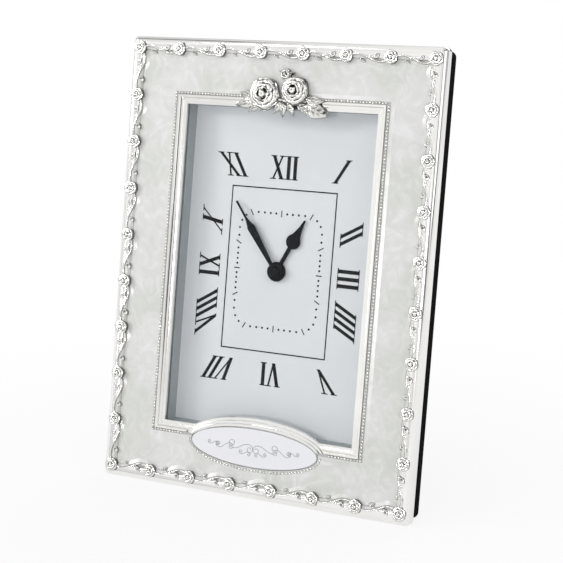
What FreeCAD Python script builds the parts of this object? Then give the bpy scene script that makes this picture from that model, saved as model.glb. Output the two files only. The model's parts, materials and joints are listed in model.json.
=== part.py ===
"""Photo frame clock: a silver frame with a clock behind its glass, standing on an easel strut.

Every piece is drawn in the frame's own axes and then leaned back on to the table.
x runs to the right, y runs from the viewer into the frame, z runs up the face.
y is zero at the edge of the window, x and z are zero at the middle of the window.
"""
import FreeCAD
import Part
import math
import os
import Sketcher

Vector = FreeCAD.Vector
Rotation = FreeCAD.Rotation
Placement = FreeCAD.Placement

# Driving dimensions, in millimetres, degrees for angles and plain numbers for teeth and shares
SIZES = {
    # silver shell
    "frame_width": 155.0,
    "frame_height": 207.0,
    "corner_round": 2.2,
    "rim_width": 6.4,
    "rim_height": 3.2,
    "rim_round": 2.6,
    "rim_inner_round": 2.0,
    "shell_wall": 1.2,
    "skirt_depth": 3.0,
    "border_width": 30.0,
    "lip_thickness": 0.4,
    "ridge_width": 1.4,
    "ridge_rise": 0.85,
    "ridge_share": 0.62,
    # pearl enamel and the oval plaque
    "enamel_height": 1.8,
    "enamel_thickness": 1.0,
    "plaque_width": 64.0,
    "plaque_height": 18.0,
    "plaque_overhang": 6.7,
    "plaque_thickness": 1.4,
    "plaque_gap": 0.3,
    # roses
    "rose_diameter": 5.6,
    "rose_height": 1.9,
    "rose_inset": 4.6,
    "rose_sink": 1.4,
    "rose_seat": 0.2,
    "rose_petals": 5,
    "petal_dip_share": 0.84,
    "petal_belly_share": 0.96,
    "petal_belly_rise_share": 0.55,
    "petal_crest_share": 0.55,
    "roses_across": 8,
    "roses_up": 10,
    "cluster_rose_diameter": 13.0,
    "cluster_rose_height": 5.2,
    "cluster_leaf_length": 12.5,
    "cluster_leaf_width": 6.4,
    "leaf_belly_share": 0.38,
    "leaf_crest_share": 0.3,
    "leaf_rise_share": 0.4,
    "leaf_start_share": 0.33,
    # glass, spacer, dial and back
    "glass_thickness": 2.0,
    "spacer_wall": 2.5,
    "dial_depth": 9.2,
    "dial_thickness": 0.5,
    "dial_hole": 8.0,
    "panel_thickness": 2.0,
    "panel_hole": 9.0,
    "fit_gap": 0.5,
    "board_inset": 1.5,
    "board_round": 3.0,
    "velvet_bevel": 0.8,
    "velvet_thickness": 0.5,
    # turn buttons
    "button_length": 16.0,
    "button_width": 7.0,
    "button_thickness": 0.8,
    "button_round_share": 0.48,
    "button_height_share": 0.72,
    "button_screw_head": 5.0,
    "button_screw_shank": 2.4,
    "button_screw_length": 6.0,
    "button_screw_rise": 1.2,
    "head_crown_share": 0.6,
    "button_offset": 5.5,
    "button_pivot_share": 0.28,
    "running_gap": 0.08,
    "slide_gap": 0.15,
    # movement case
    "pad_thickness": 1.0,
    "pad_width": 8.0,
    "case_depth": 16.0,
    "case_wall": 1.4,
    "case_round": 3.0,
    "boss_diameter": 7.0,
    "bay_height": 15.6,
    "bay_wall": 1.2,
    "battery_diameter": 14.2,
    "battery_length": 49.2,
    "battery_cap_diameter": 5.5,
    "battery_cap_height": 1.2,
    "contact_thickness": 0.4,
    "contact_spring_room": 2.4,
    # wheels
    "train_module": 0.33,
    "motion_module": 0.525,
    "pinion_leaves": 6,
    "intermediate_teeth": 30,
    "seconds_teeth": 36,
    "third_teeth": 45,
    "centre_teeth": 48,
    "cannon_teeth": 8,
    "motion_teeth": 24,
    "motion_pinion_teeth": 8,
    "hour_teeth": 32,
    "addendum_share": 0.85,
    "dedendum_share": 1.1,
    "pitch_tooth_share": 0.5,
    "tip_tooth_share": 0.36,
    "root_tooth_share": 1.25,
    "wheel_thickness": 0.8,
    "layer_gap": 0.3,
    "arbor_diameter": 1.2,
    "pivot_diameter": 0.8,
    "pivot_length": 0.8,
    "bearing_diameter": 2.8,
    "knob_shaft_diameter": 2.0,
    "seconds_rise": 14.5,
    "motion_angle": -10.0,
    "knob_angle": 30.0,
    "rotor_diameter": 5.6,
    "rotor_thickness": 2.0,
    "cannon_diameter": 3.0,
    "hour_pipe_diameter": 5.0,
    "knob_diameter": 11.0,
    "knob_height": 3.0,
    "knob_grips": 16,
    # electrical pieces
    "stator_thickness": 0.8,
    "stator_width": 16.0,
    "stator_height": 20.5,
    "stator_arm": 3.4,
    "stator_back_width": 9.2,
    "stator_side": 4.2,
    "stator_gap": 0.4,
    "stator_post": 2.4,
    "coil_diameter": 5.4,
    "coil_flange": 0.8,
    "coil_core": 1.6,
    "contact_width": 2.0,
    "contact_plate": 8.0,
    "circuit_rise": 3.8,
    "circuit_width": 10.0,
    "circuit_height": 30.0,
    "circuit_thickness": 1.0,
    "crystal_diameter": 2.0,
    "crystal_length": 6.0,
    "chip_side": 4.0,
    "chip_height": 1.0,
    # hands
    "hour_hand_length": 27.2,
    "hour_hand_bulb": 7.0,
    "hour_hand_bulb_share": 0.59,
    "hour_hand_neck": 1.9,
    "hour_hand_shoulder_angle": 50.0,
    "hour_hand_hollow_share": 0.72,
    "minute_hand_length": 37.9,
    "minute_hand_width": 3.8,
    "minute_hand_width_share": 0.63,
    "minute_hand_needle_share": 0.78,
    "minute_hand_neck": 1.4,
    "minute_hand_hollow_share": 0.75,
    "hand_tip": 0.9,
    "hand_thickness": 0.4,
    "hand_hub": 9.0,
    "minute_hub": 8.0,
    "hand_gap": 0.9,
    "hand_nut_diameter": 5.0,
    "hand_nut_height": 1.3,
    "shown_minute": 54.0,
    "dial_minutes": 60.0,
    "dial_hours": 12.0,
    # easel strut
    "lean_angle": 10.0,
    "strut_angle": 24.0,
    "hinge_gap": 2.0,
    "strut_thickness": 3.5,
    "strut_top_width": 32.0,
    "strut_foot_width": 52.0,
    "strut_round": 6.0,
    "leaf_width": 26.0,
    "leaf_length": 12.0,
    "leaf_thickness": 0.6,
    "knuckle_diameter": 3.0,
    "pin_diameter": 1.6,
    "knuckle_share": 0.36,
    "rivet_share": 0.62,
    "rivet_diameter": 2.2,
    "rivet_head_diameter": 3.6,
    "rivet_head_height": 0.5,
    # one overrun for every cut
    "overrun": 2.0,
}

# Places and sizes that follow from the ones above
PLACES = {
    "floor_front": "size.enamel_thickness - size.enamel_height",
    "field_width": "size.frame_width - 2 * size.rim_width",
    "field_height": "size.frame_height - 2 * size.rim_width",
    "moulding_width": "3 * size.ridge_width",
    "moulding_top": "-3 * size.ridge_rise",
    "window_width": "size.frame_width - 2 * size.border_width",
    "window_height": "size.frame_height - 2 * size.border_width",
    "plaque_drop": "place.window_height / 2 + size.plaque_overhang",
    "moulded_width": "place.window_width + 2 * place.moulding_width",
    "moulded_height": "place.window_height + 2 * place.moulding_width",
    "stack_width": "place.window_width + 2 * size.spacer_wall",
    "stack_height": "place.window_height + 2 * size.spacer_wall",
    "glass_back": "size.lip_thickness + size.glass_thickness",
    "dial_back": "size.dial_depth + size.dial_thickness",
    "back_face": "place.dial_back + size.panel_thickness",
    "board_width": "size.frame_width - 2 * size.board_inset",
    "board_height": "size.frame_height - 2 * size.board_inset",
    "board_hole_width": "place.stack_width + 2 * size.fit_gap",
    "board_hole_height": "place.stack_height + 2 * size.fit_gap",
    "core_width": "place.board_width - 2 * size.velvet_thickness",
    "core_height": "place.board_height - 2 * size.velvet_thickness",
    "core_back": "place.back_face - size.velvet_thickness",
    "button_front": "place.back_face + size.slide_gap",
    "button_back": "place.button_front + size.button_thickness",
    "button_across": "place.board_hole_width / 2 + size.button_offset",
    "button_up": "place.board_hole_height / 2 * size.button_height_share",
    "movement_front": "place.back_face + size.pad_thickness",
    "plate_back": "place.movement_front + size.case_wall",
    "case_back": "place.movement_front + size.case_depth",
    "cover_inside": "place.case_back - size.case_wall",
    "contact_room": "size.contact_thickness + size.contact_spring_room",
    "room_width": "size.battery_length + size.battery_cap_height + place.contact_room",
    "case_width": "place.room_width + 2 * size.case_wall",
    "hinge_drop": "place.case_width / 2 + size.leaf_length + size.hinge_gap",
    "bay_middle": "-(place.room_width - size.bay_height) / 2",
    "room_side": "place.room_width / 2",
    "room_floor": "size.bay_height + size.bay_wall - place.room_side",
    "battery_depth": "place.plate_back + size.slide_gap + size.battery_diameter / 2",
    "battery_right": "place.room_side - size.contact_thickness - size.battery_cap_height",
    "battery_left": "place.battery_right - size.battery_length",
    "boss_front": "size.dial_depth - size.slide_gap",
    "layer": "size.wheel_thickness + size.layer_gap",
    "hour_layer": "place.plate_back + size.layer_gap",
    "motion_layer": "place.hour_layer + place.layer",
    "centre_layer": "place.motion_layer + place.layer",
    "third_layer": "place.centre_layer + place.layer",
    "seconds_layer": "place.third_layer + place.layer",
    "intermediate_layer": "place.seconds_layer + place.layer",
    "rotor_layer": "place.intermediate_layer + place.layer",
    "rotor_back": "place.rotor_layer + size.rotor_thickness",
    "minute_seat": "place.third_layer + place.layer",
    "third_seat": "place.third_layer + place.layer",
    "seconds_seat": "place.seconds_layer + place.layer",
    "intermediate_seat": "place.intermediate_layer + place.layer",
    "rotor_seat": "place.rotor_back + size.layer_gap",
    "motion_distance": "size.motion_module * (size.cannon_teeth + size.motion_teeth) / 2",
    "hour_module": "2 * place.motion_distance / (size.motion_pinion_teeth + size.hour_teeth)",
    "third_distance": "size.train_module * (size.pinion_leaves + size.centre_teeth) / 2",
    "seconds_distance": "size.train_module * (size.pinion_leaves + size.third_teeth) / 2",
    "intermediate_distance": "size.train_module * (size.pinion_leaves + size.seconds_teeth) / 2",
    "rotor_distance": "size.train_module * (size.pinion_leaves + size.intermediate_teeth) / 2",
    "motion_x": "place.motion_distance * cos(size.motion_angle)",
    "motion_z": "place.motion_distance * sin(size.motion_angle)",
    "knob_x": "place.motion_x + place.motion_distance * cos(size.knob_angle)",
    "knob_z": "place.motion_z + place.motion_distance * sin(size.knob_angle)",
    "seconds_x": "0",
    "seconds_z": "size.seconds_rise",
    "train_excess": "place.third_distance^2 - place.seconds_distance^2 + size.seconds_rise^2",
    "third_z": "place.train_excess / (2 * size.seconds_rise)",
    "third_x": "-sqrt(place.third_distance^2 - place.third_z^2)",
    "intermediate_x": "place.intermediate_distance",
    "intermediate_z": "size.seconds_rise",
    "rotor_x": "place.intermediate_x + place.rotor_distance",
    "rotor_z": "size.seconds_rise",
    "stator_front": "place.rotor_layer + (size.rotor_thickness - size.stator_thickness) / 2",
    "stator_back": "place.stator_front + size.stator_thickness",
    "stator_left": "place.rotor_x - size.stator_side",
    "stator_right": "place.stator_left + size.stator_width",
    "stator_low": "place.rotor_z - size.stator_height / 2",
    "coil_x": "place.stator_right - size.coil_diameter / 2 - size.stator_gap",
    "circuit_left": "size.contact_thickness - place.room_side",
    "circuit_low": "place.room_floor + size.circuit_rise",
    "circuit_front": "place.cover_inside - size.circuit_thickness",
    "contact_front": "place.cover_inside - size.contact_width",
    "hour_hand_back": "size.dial_depth - size.hand_gap",
    "hour_hand_front": "place.hour_hand_back - size.hand_thickness",
    "minute_hand_back": "place.hour_hand_front - size.hand_gap",
    "minute_hand_front": "place.minute_hand_back - size.hand_thickness",
    "nut_front": "place.minute_hand_front - size.hand_nut_height",
    "hinge_depth": "place.back_face + size.knuckle_diameter / 2 + size.slide_gap",
    "knuckle_reach": "size.knuckle_diameter / 2 + size.slide_gap",
    "leaf_back": "place.back_face + size.leaf_thickness",
    "strut_front": "place.hinge_depth + size.leaf_thickness",
    "strut_back": "place.strut_front + size.strut_thickness",
    "strut_top": "place.knuckle_reach + size.slide_gap",
    "foot_angle": "size.strut_angle - size.lean_angle",
    "skirt_drop": "size.frame_height / 2 * cos(size.lean_angle) + size.skirt_depth * sin(size.lean_angle)",
    "bevel_depth": "place.back_face - size.velvet_bevel",
    "velvet_drop": "place.board_height / 2 * cos(size.lean_angle) + place.bevel_depth * sin(size.lean_angle)",
    "edge_drop": "max(place.skirt_drop; place.velvet_drop)",
    "pin_drop": "place.hinge_drop * cos(size.lean_angle) + place.hinge_depth * sin(size.lean_angle)",
    "pin_rise": "place.edge_drop - place.pin_drop",
    "foot_front": "(place.pin_rise + size.leaf_thickness * sin(place.foot_angle)) / cos(place.foot_angle)",
    "foot_back": "place.foot_front + size.strut_thickness * tan(place.foot_angle)",
    "sine_sum": "sin(size.lean_angle) + sin(place.foot_angle)",
    "cosine_loss": "cos(size.lean_angle) - cos(place.foot_angle)",
    "strut_shift": "place.hinge_depth * place.cosine_loss - place.hinge_drop * place.sine_sum",
    "strut_drop": "place.hinge_depth * place.sine_sum + place.hinge_drop * place.cosine_loss",
}

doc = FreeCAD.newDocument("photo_frame_clock")
size_sheet = doc.addObject("Spreadsheet::Sheet", "size")
place_sheet = doc.addObject("Spreadsheet::Sheet", "place")


def fill_sheet(sheet, rows):
    """Writes one named value to each row of a sheet."""
    for row, (name, content) in enumerate(rows.items(), start=1):
        sheet.set(f"A{row}", name)
        sheet.set(f"B{row}", content)
        sheet.setAlias(f"B{row}", name)


fill_sheet(size_sheet, {name: str(value) for name, value in SIZES.items()})
fill_sheet(place_sheet, {name: "=" + formula.replace("place.", "") for name, formula in PLACES.items()})
doc.recompute()


def number(expression):
    """The present value of an expression in the two sheets."""
    return float(size_sheet.evalExpression(expression))


pieces = []


def finished(piece, label):
    """Names a piece and adds it to the list that is leaned back and written out."""
    piece.Label = label
    pieces.append(piece)
    return piece


# Drawing helpers: every point and length is an expression in the sheets

def new_body(label):
    return finished(doc.addObject("PartDesign::Body", label), label)


def origin_plane(body, role):
    return next(feature for feature in body.Origin.OriginFeatures if feature.Role == role)


def new_sketch(body, depth="0", role="XZ_Plane"):
    """A sketch facing the viewer at the given depth, or across the frame on another plane."""
    drawing = body.newObject("Sketcher::SketchObject", body.Name + "_sketch")
    drawing.AttachmentSupport = [(origin_plane(body, role), "")]
    drawing.MapMode = "FlatFace"
    drawing.setExpression("AttachmentOffset.Base.z", f"-({depth})")
    return drawing


def pin(drawing, edge, end, point):
    """Holds one end of a drawn edge, or a circle's centre, at a point."""
    for kind, expression in zip(("DistanceX", "DistanceY"), point):
        constraint = Sketcher.Constraint(kind, -1, 1, edge, end, number(expression))
        index = drawing.addConstraint(constraint)
        drawing.setExpression(f"Constraints[{index}]", expression)


def outline(drawing, points):
    """A closed outline of straight edges through the points."""
    for start, end in zip(points, points[1:] + points[:1]):
        start_vector = Vector(*map(number, start), 0)
        end_vector = Vector(*map(number, end), 0)
        edge = drawing.addGeometry(Part.LineSegment(start_vector, end_vector))
        pin(drawing, edge, 1, start)
        pin(drawing, edge, 2, end)
    return drawing


def rectangle(drawing, width, height, x="0", z="0"):
    left, right = f"{x} - ({width}) / 2", f"{x} + ({width}) / 2"
    low, high = f"{z} - ({height}) / 2", f"{z} + ({height}) / 2"
    return outline(drawing, [(left, low), (right, low), (right, high), (left, high)])


def circle(drawing, diameter, x="0", z="0"):
    centre = Vector(number(x), number(z), 0)
    radius = f"({diameter}) / 2"
    edge = drawing.addGeometry(Part.Circle(centre, Vector(0, 0, 1), number(radius)))
    pin(drawing, edge, 3, (x, z))
    index = drawing.addConstraint(Sketcher.Constraint("Radius", edge, number(radius)))
    drawing.setExpression(f"Constraints[{index}]", radius)
    return drawing


def solid_feature(kind, drawing, length, backward):
    body = drawing.getParentGeoFeatureGroup()
    feature = body.newObject("PartDesign::" + kind, f"{body.Name}_{kind}")
    feature.Profile = drawing
    feature.Reversed = backward
    feature.setExpression("Length", length)
    return feature


def pad(drawing, length, backward=True):
    """Adds material from the sketch into the frame, or towards the viewer."""
    return solid_feature("Pad", drawing, length, backward)


def pocket(drawing, length, backward=True):
    """Takes material away from the sketch into the frame, or towards the viewer."""
    return solid_feature("Pocket", drawing, length, not backward)


def dressed(kind, measure, body, length, chosen):
    """Dresses the edges that a test picks from the body's present shape."""
    doc.recompute()
    tip = body.Tip
    names = [f"Edge{index}" for index, edge in enumerate(tip.Shape.Edges, start=1) if chosen(edge)]
    feature = body.newObject("PartDesign::" + kind, f"{body.Name}_{kind}")
    feature.Base = (tip, names)
    feature.setExpression(measure, length)
    return feature


def round_edges(body, radius, chosen):
    return dressed("Fillet", "Radius", body, radius, chosen)


def bevel_edges(body, size, chosen):
    return dressed("Chamfer", "Size", body, size, chosen)


def near(first, second):
    return abs(first - second) < number("size.slide_gap") / 10


def runs_back(edge):
    """True for a straight edge that runs along y."""
    return len(edge.Vertexes) == 2 and near(edge.BoundBox.XLength, 0) and near(edge.BoundBox.ZLength, 0)


def at_corner(width, height):
    """Picks the edges along y at the corners of a centred rectangle."""
    def chosen(edge):
        middle = edge.CenterOfMass
        reach_x, reach_z = number(width) / 2, number(height) / 2
        return runs_back(edge) and near(abs(middle.x), reach_x) and near(abs(middle.z), reach_z)
    return chosen


def around(depth, width, height):
    """Picks the edges at one depth that lie on the outline of a centred rectangle, corners included."""
    def chosen(edge):
        box = edge.BoundBox
        flat = near(box.YLength, 0) and near(box.YMin, number(depth))
        reach_x = max(abs(box.XMin), abs(box.XMax))
        reach_z = max(abs(box.ZMin), abs(box.ZMax))
        return flat and (near(reach_x, number(width) / 2) or near(reach_z, number(height) / 2))
    return chosen


def shaped(label, shape):
    """A finished piece whose shape is worked out from the sheets."""
    feature = doc.addObject("Part::Feature", label)
    feature.Shape = shape
    return finished(feature, label)


def rod(diameter, front, back, x=0.0, z=0.0):
    """A round bar along y between two depths."""
    start = Vector(x, number(front), z)
    length = number(back) - number(front)
    return Part.makeCylinder(number(diameter) / 2, length, start, Vector(0, 1, 0))


def joined(first, *others):
    return first.multiFuse(list(others)).removeSplitter()


def slab(low, high):
    """A box between two corners, each given as expressions of x, y and z."""
    low_values = list(map(number, low))
    high_values = list(map(number, high))
    spans = [top - bottom for bottom, top in zip(low_values, high_values)]
    return Part.makeBox(*spans, Vector(*low_values))


def faceted(sections):
    """A solid with flat faces through outlines that have as many corners each, first and last closed."""
    faces = [Part.Face(Part.makePolygon(corners + corners[:1])) for corners in (sections[0], sections[-1])]
    for lower, upper in zip(sections, sections[1:]):
        for start in range(len(lower)):
            end = (start + 1) % len(lower)
            corners = [lower[start], lower[end], upper[end], upper[start]]
            faces.append(Part.Face(Part.makePolygon(corners + corners[:1])))
    solid = Part.Solid(Part.Shell(faces))
    if solid.Volume < 0:
        solid.reverse()
    return solid


def crowned_head(diameter, seat, rise, x, z):
    """The low head of a screw or rivet: widest on its seat and narrower at its crown."""
    radius = number(diameter) / 2
    crown = radius * number("size.head_crown_share")
    height = number(rise)
    outward = Vector(0, math.copysign(1, height), 0)
    return Part.makeCone(radius, crown, abs(height), Vector(x, number(seat), z), outward)


# The silver shell

def window_moulding(body):
    """The reeded moulding: three stepped ridges swept round the window with mitred corners."""
    path = rectangle(new_sketch(body), "place.window_width", "place.window_height")
    profile = new_sketch(body, role="YZ_Plane")
    edge = "-place.window_height / 2"
    points = [("size.lip_thickness", edge), ("0", edge)]
    for ridge in range(3):
        shoulder = "(1 - size.ridge_share) / 2 * size.ridge_width"
        start = f"{edge} - {ridge} * size.ridge_width"
        end = f"{edge} - {ridge + 1} * size.ridge_width"
        top = f"-{ridge + 1} * size.ridge_rise"
        points.append((top, f"{start} - {shoulder}"))
        points.append((top, f"{end} + {shoulder}"))
        if ridge < 2:
            points.append((f"{top} + size.ridge_rise / 2", end))
    points.append(("0", end))
    points.append(("size.lip_thickness", end))
    outline(profile, points)
    pipe = body.newObject("PartDesign::AdditivePipe", body.Name + "_moulding")
    pipe.Profile = profile
    pipe.Spine = (path, ["Edge1", "Edge2", "Edge3", "Edge4"])
    pipe.Transition = "Right corner"


def shell_body():
    """The stamped shell: a convex rim, a sunk field for the enamel, a skirt and the window."""
    body = doc.addObject("PartDesign::Body", "shell")
    front = "-size.rim_height"
    pad(rectangle(new_sketch(body, front), "size.frame_width", "size.frame_height"),
        "size.rim_height + size.skirt_depth")
    round_edges(body, "size.corner_round", at_corner("size.frame_width", "size.frame_height"))
    round_edges(body, "size.rim_round", around(front, "size.frame_width", "size.frame_height"))
    pocket(rectangle(new_sketch(body, front), "place.field_width", "place.field_height"),
           "size.rim_height + place.floor_front")
    round_edges(body, "size.rim_inner_round", around(front, "place.field_width", "place.field_height"))
    pocket(rectangle(new_sketch(body, "size.lip_thickness"),
                     "size.frame_width - 2 * size.shell_wall", "size.frame_height - 2 * size.shell_wall"),
           "size.skirt_depth")
    pocket(rectangle(new_sketch(body, front), "place.window_width", "place.window_height"),
           "size.rim_height + size.skirt_depth")
    window_moulding(body)
    return body


def oval_edge(name, grow, depth):
    """An ellipse round the plaque's middle, at one depth."""
    edge = doc.addObject("Part::Ellipse", name)
    edge.setExpression("MajorRadius", f"size.plaque_width / 2 + {grow}")
    edge.setExpression("MinorRadius", f"size.plaque_height / 2 + {grow}")
    edge.Placement = Placement(Vector(0, 0, 0), Rotation(Vector(1, 0, 0), 90))
    edge.setExpression("Placement.Base.y", depth)
    edge.setExpression("Placement.Base.z", "-place.plaque_drop")
    return edge


def oval(name, grow, front, back):
    """An elliptical slab round the plaque's middle, between two depths."""
    slab = doc.addObject("Part::Extrusion", name)
    slab.Base = oval_edge(name + "_edge", grow, front)
    slab.DirMode = "Custom"
    slab.Dir = Vector(0, 1, 0)
    slab.Solid = True
    slab.setExpression("LengthFwd", f"{back} - ({front})")
    return slab


def block(name, width, depth, height, x, y, z):
    """A box given by its size and its lowest corner."""
    box = doc.addObject("Part::Box", name)
    sides = {"Length": width, "Width": depth, "Height": height}
    corner = {"Placement.Base.x": x, "Placement.Base.y": y, "Placement.Base.z": z}
    for prop, expression in {**sides, **corner}.items():
        box.setExpression(prop, expression)
    return box


def cut(name, base, tool):
    result = doc.addObject("Part::Cut", name)
    result.Base = base
    result.Tool = tool
    return result


def arch_moulding():
    """The same ridges carried over the plaque, highest next to the oval, kept above the moulding's foot."""
    ridges = []
    for ridge in range(1, 4):
        grow = f"size.plaque_gap + {ridge} * size.ridge_width"
        top = f"-{4 - ridge} * size.ridge_rise"
        shoulder = f"{top} + size.ridge_rise / 2"
        ridges.append(oval(f"arch_step_{ridge}", grow, shoulder, "size.lip_thickness"))
        slope = doc.addObject("Part::Loft", f"arch_slope_{ridge}")
        inset = "(1 - size.ridge_share) / 2 * size.ridge_width"
        slope.Sections = [oval_edge(f"arch_foot_{ridge}", grow, shoulder),
                          oval_edge(f"arch_crest_{ridge}", f"{grow} - {inset}", top)]
        slope.Solid = True
        slope.Ruled = True
        ridges.append(slope)
    steps = doc.addObject("Part::MultiFuse", "arch_steps")
    steps.Shapes = ridges
    seat = oval("arch_seat", "size.plaque_gap", "-size.rim_height - size.overrun", "place.floor_front")
    below = block("below_arch", "size.frame_width", "2 * size.rim_height + 2 * size.overrun",
                  "size.frame_height", "-size.frame_width / 2", "-size.rim_height - size.overrun",
                  "-place.moulded_height / 2 - size.frame_height")
    return cut("arch_moulding", cut("seated_arch", steps, seat), below)


def front_frame():
    """The shell with its arch: the straight moulding stops where the arch rises over the plaque."""
    shell = shell_body()
    grow = "size.plaque_gap + place.moulding_width - size.ridge_width / 2"
    clearing = oval("arch_clearing", grow, "-size.rim_height - size.overrun", "place.floor_front")
    tongue = oval("arch_tongue", grow, "place.floor_front", "size.lip_thickness")
    opened = cut("opened_shell", shell, clearing)
    whole = doc.addObject("Part::MultiFuse", "front_frame")
    whole.Shapes = [opened, tongue, arch_moulding()]
    whole.Refine = True
    return finished(whole, "front_frame")


def enamel_field():
    """The pearl enamel, poured in the sunk field round the moulding and the plaque."""
    ring = doc.addObject("PartDesign::Body", "enamel_ring")
    drawing = rectangle(new_sketch(ring, "-size.enamel_height"), "place.field_width", "place.field_height")
    rectangle(drawing, "place.moulded_width", "place.moulded_height")
    pad(drawing, "size.enamel_thickness")
    bed = oval("plaque_bed", "size.plaque_gap", "-size.enamel_height - size.overrun",
               "place.floor_front + size.overrun")
    return finished(cut("enamel_field", ring, bed), "enamel_field")


def oval_plaque():
    """The bare oval plate under the arch, its front edge bevelled."""
    slab = oval("plaque_slab", "0", "place.floor_front - size.plaque_thickness", "place.floor_front")
    doc.recompute()
    front = number("place.floor_front - size.plaque_thickness")
    bevel = number("size.plaque_thickness") / 4
    plate = doc.addObject("Part::Chamfer", "oval_plaque")
    plate.Base = slab
    plate.Edges = [(index, bevel, bevel) for index, edge in enumerate(slab.Shape.Edges, start=1)
                   if near(edge.BoundBox.YMax, front)]
    return finished(plate, "oval_plaque")


# Roses

def petal_ring(x, z, y, radius, turn):
    """The corners of a flower outline of pointed petals at one depth."""
    petals = int(number("size.rose_petals"))
    dip = number("size.petal_dip_share")
    corners = []
    for step in range(2 * petals):
        angle = turn + math.pi * step / petals
        reach = radius * (1 if step % 2 == 0 else dip)
        corners.append(Vector(x + reach * math.cos(angle), y, z + reach * math.sin(angle)))
    return corners


def rose(x, z, back, diameter, height, turn, rings=1):
    """A rose seen from the front: rings of petals, each one crowned and higher than the one round it."""
    belly, crest = number("size.petal_belly_share"), number("size.petal_crest_share")
    rise = number("size.petal_belly_rise_share")
    solids = []
    for ring in range(rings):
        radius = diameter / 2 * (1 - ring / rings)
        front = back - height * (ring + 1) / rings
        middle = back + (front - back) * rise
        sections = [petal_ring(x, z, depth, radius * share, turn + ring)
                    for depth, share in ((back, 1), (middle, belly), (front, crest))]
        solids.append(faceted(sections))
    return joined(*solids) if rings > 1 else solids[0]


def spread(count, reach):
    """Evenly spaced places from -reach to reach."""
    return [reach * (2 * index / (count - 1) - 1) for index in range(count)]


def border_roses():
    """The roses that ring the field, each stepped to sit on the rim's crest and on the enamel."""
    reach_x = number("size.frame_width / 2 - size.rose_inset")
    reach_z = number("size.frame_height / 2 - size.rose_inset")
    across = spread(int(number("size.roses_across")), reach_x)
    up = spread(int(number("size.roses_up")), reach_z)[1:-1]
    spots = [(x, z) for z in (reach_z, -reach_z) for x in across]
    spots += [(x, z) for x in (reach_x, -reach_x) for z in up]
    back = number("-size.rim_height + size.rose_sink + size.rose_seat")
    height = number("size.rose_height + size.rose_sink + size.rose_seat")
    diameter = number("size.rose_diameter")
    flowers = [rose(x, z, back, diameter, height, index) for index, (x, z) in enumerate(spots)]
    behind = "size.overrun"
    rim = slab(("-size.frame_width / 2", "-size.rim_height", "-size.frame_height / 2"),
               ("size.frame_width / 2", behind, "size.frame_height / 2"))
    field = slab(("-place.field_width / 2", "-size.rim_height", "-place.field_height / 2"),
                 ("place.field_width / 2", "-size.enamel_height", "place.field_height / 2"))
    return shaped("border_roses", Part.makeCompound(flowers).cut(rim.cut(field)))


def leaf(x, z, back, length, width, turn, rise):
    """A pointed leaf, raised along its middle, its stem end at x, z."""
    half = width / 2
    belly, crest = number("size.leaf_belly_share"), number("size.leaf_crest_share")
    middle = length * belly
    sections = []
    for depth, share in ((0, 1), (-rise, crest)):
        corners = [(-middle, 0), (0, half), (length - middle, 0), (0, -half)]
        sections.append([Vector(middle + across * share, depth, up * share) for across, up in corners])
    shape = faceted(sections)
    shape.rotate(Vector(0, 0, 0), Vector(0, -1, 0), turn)
    shape.translate(Vector(x, back, z))
    return shape


# Each flower of the cluster: across and up from the window's top edge, its width and its height,
# as shares of the larger rose
CLUSTER_FLOWER_SHARES = {
    "left": (-0.5, 0.5, 1.0, 1.0),
    "right": (0.6, 0.67, 0.93, 1.0),
    "bud": (0.17, 1.2, 0.62, 0.75),
}

# Each leaf of the cluster: the flower it grows from, its direction in degrees and its share of a leaf's size
CLUSTER_LEAF_SHARES = [
    ("left", 200, 1.05),
    ("left", 305, 0.8),
    ("left", 140, 0.75),
    ("left", 15, 0.9),
    ("right", 262, 0.75),
    ("right", 328, 1.25),
    ("right", 20, 0.75),
    ("bud", 290, 0.6),
]


def rose_cluster():
    """Two full roses, a bud and leaves, cast in one and seated on the moulding over the window's top."""
    back = number("place.moulding_top")
    bloom, height = number("size.cluster_rose_diameter"), number("size.cluster_rose_height")
    length, width = number("size.cluster_leaf_length"), number("size.cluster_leaf_width")
    start = number("size.leaf_start_share") * bloom / 2
    rise = height * number("size.leaf_rise_share")
    lowest = number("place.window_height / 2")
    solids = []
    hearts = {}
    for turn, (name, (across, up, wide, high)) in enumerate(CLUSTER_FLOWER_SHARES.items()):
        hearts[name] = (bloom * across, lowest + bloom * up)
        solids.append(rose(*hearts[name], back, bloom * wide, height * high, turn, 2))
    for name, direction, share in CLUSTER_LEAF_SHARES:
        x, z = hearts[name]
        angle = math.radians(direction)
        solids.append(leaf(x + start * math.cos(angle), z + start * math.sin(angle), back,
                           length * share, width * share, direction, rise))
    return shaped("rose_cluster", joined(*solids))


# Glass, dial and back

def layer_sheet(label, front, back, width, height, hole=None):
    """A flat sheet between two depths, with a round hole for the movement's boss where it has one."""
    body = new_body(label)
    drawing = rectangle(new_sketch(body, front), width, height)
    if hole:
        circle(drawing, hole)
    pad(drawing, f"{back} - ({front})")
    return body


def window_glass():
    return layer_sheet("window_glass", "size.lip_thickness", "place.glass_back",
                       "place.stack_width", "place.stack_height")


def spacer_frame():
    """The pale walls that hold the dial back from the glass."""
    body = new_body("spacer_frame")
    drawing = rectangle(new_sketch(body, "place.glass_back"), "place.stack_width", "place.stack_height")
    rectangle(drawing, "place.window_width", "place.window_height")
    pad(drawing, "size.dial_depth - place.glass_back")
    return body


def dial_card():
    return layer_sheet("dial_card", "size.dial_depth", "place.dial_back",
                       "place.stack_width", "place.stack_height", "size.dial_hole")


def back_panel():
    """The board behind the dial, with holes for the boss and for the hinge's rivets."""
    body = layer_sheet("back_panel", "place.dial_back", "place.back_face",
                       "place.stack_width", "place.stack_height", "size.panel_hole")
    holes = new_sketch(body, "place.dial_back")
    for x, z in rivet_spots(1):
        circle(holes, "size.rivet_diameter", x, z)
    pocket(holes, "size.panel_thickness")
    return body


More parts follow.
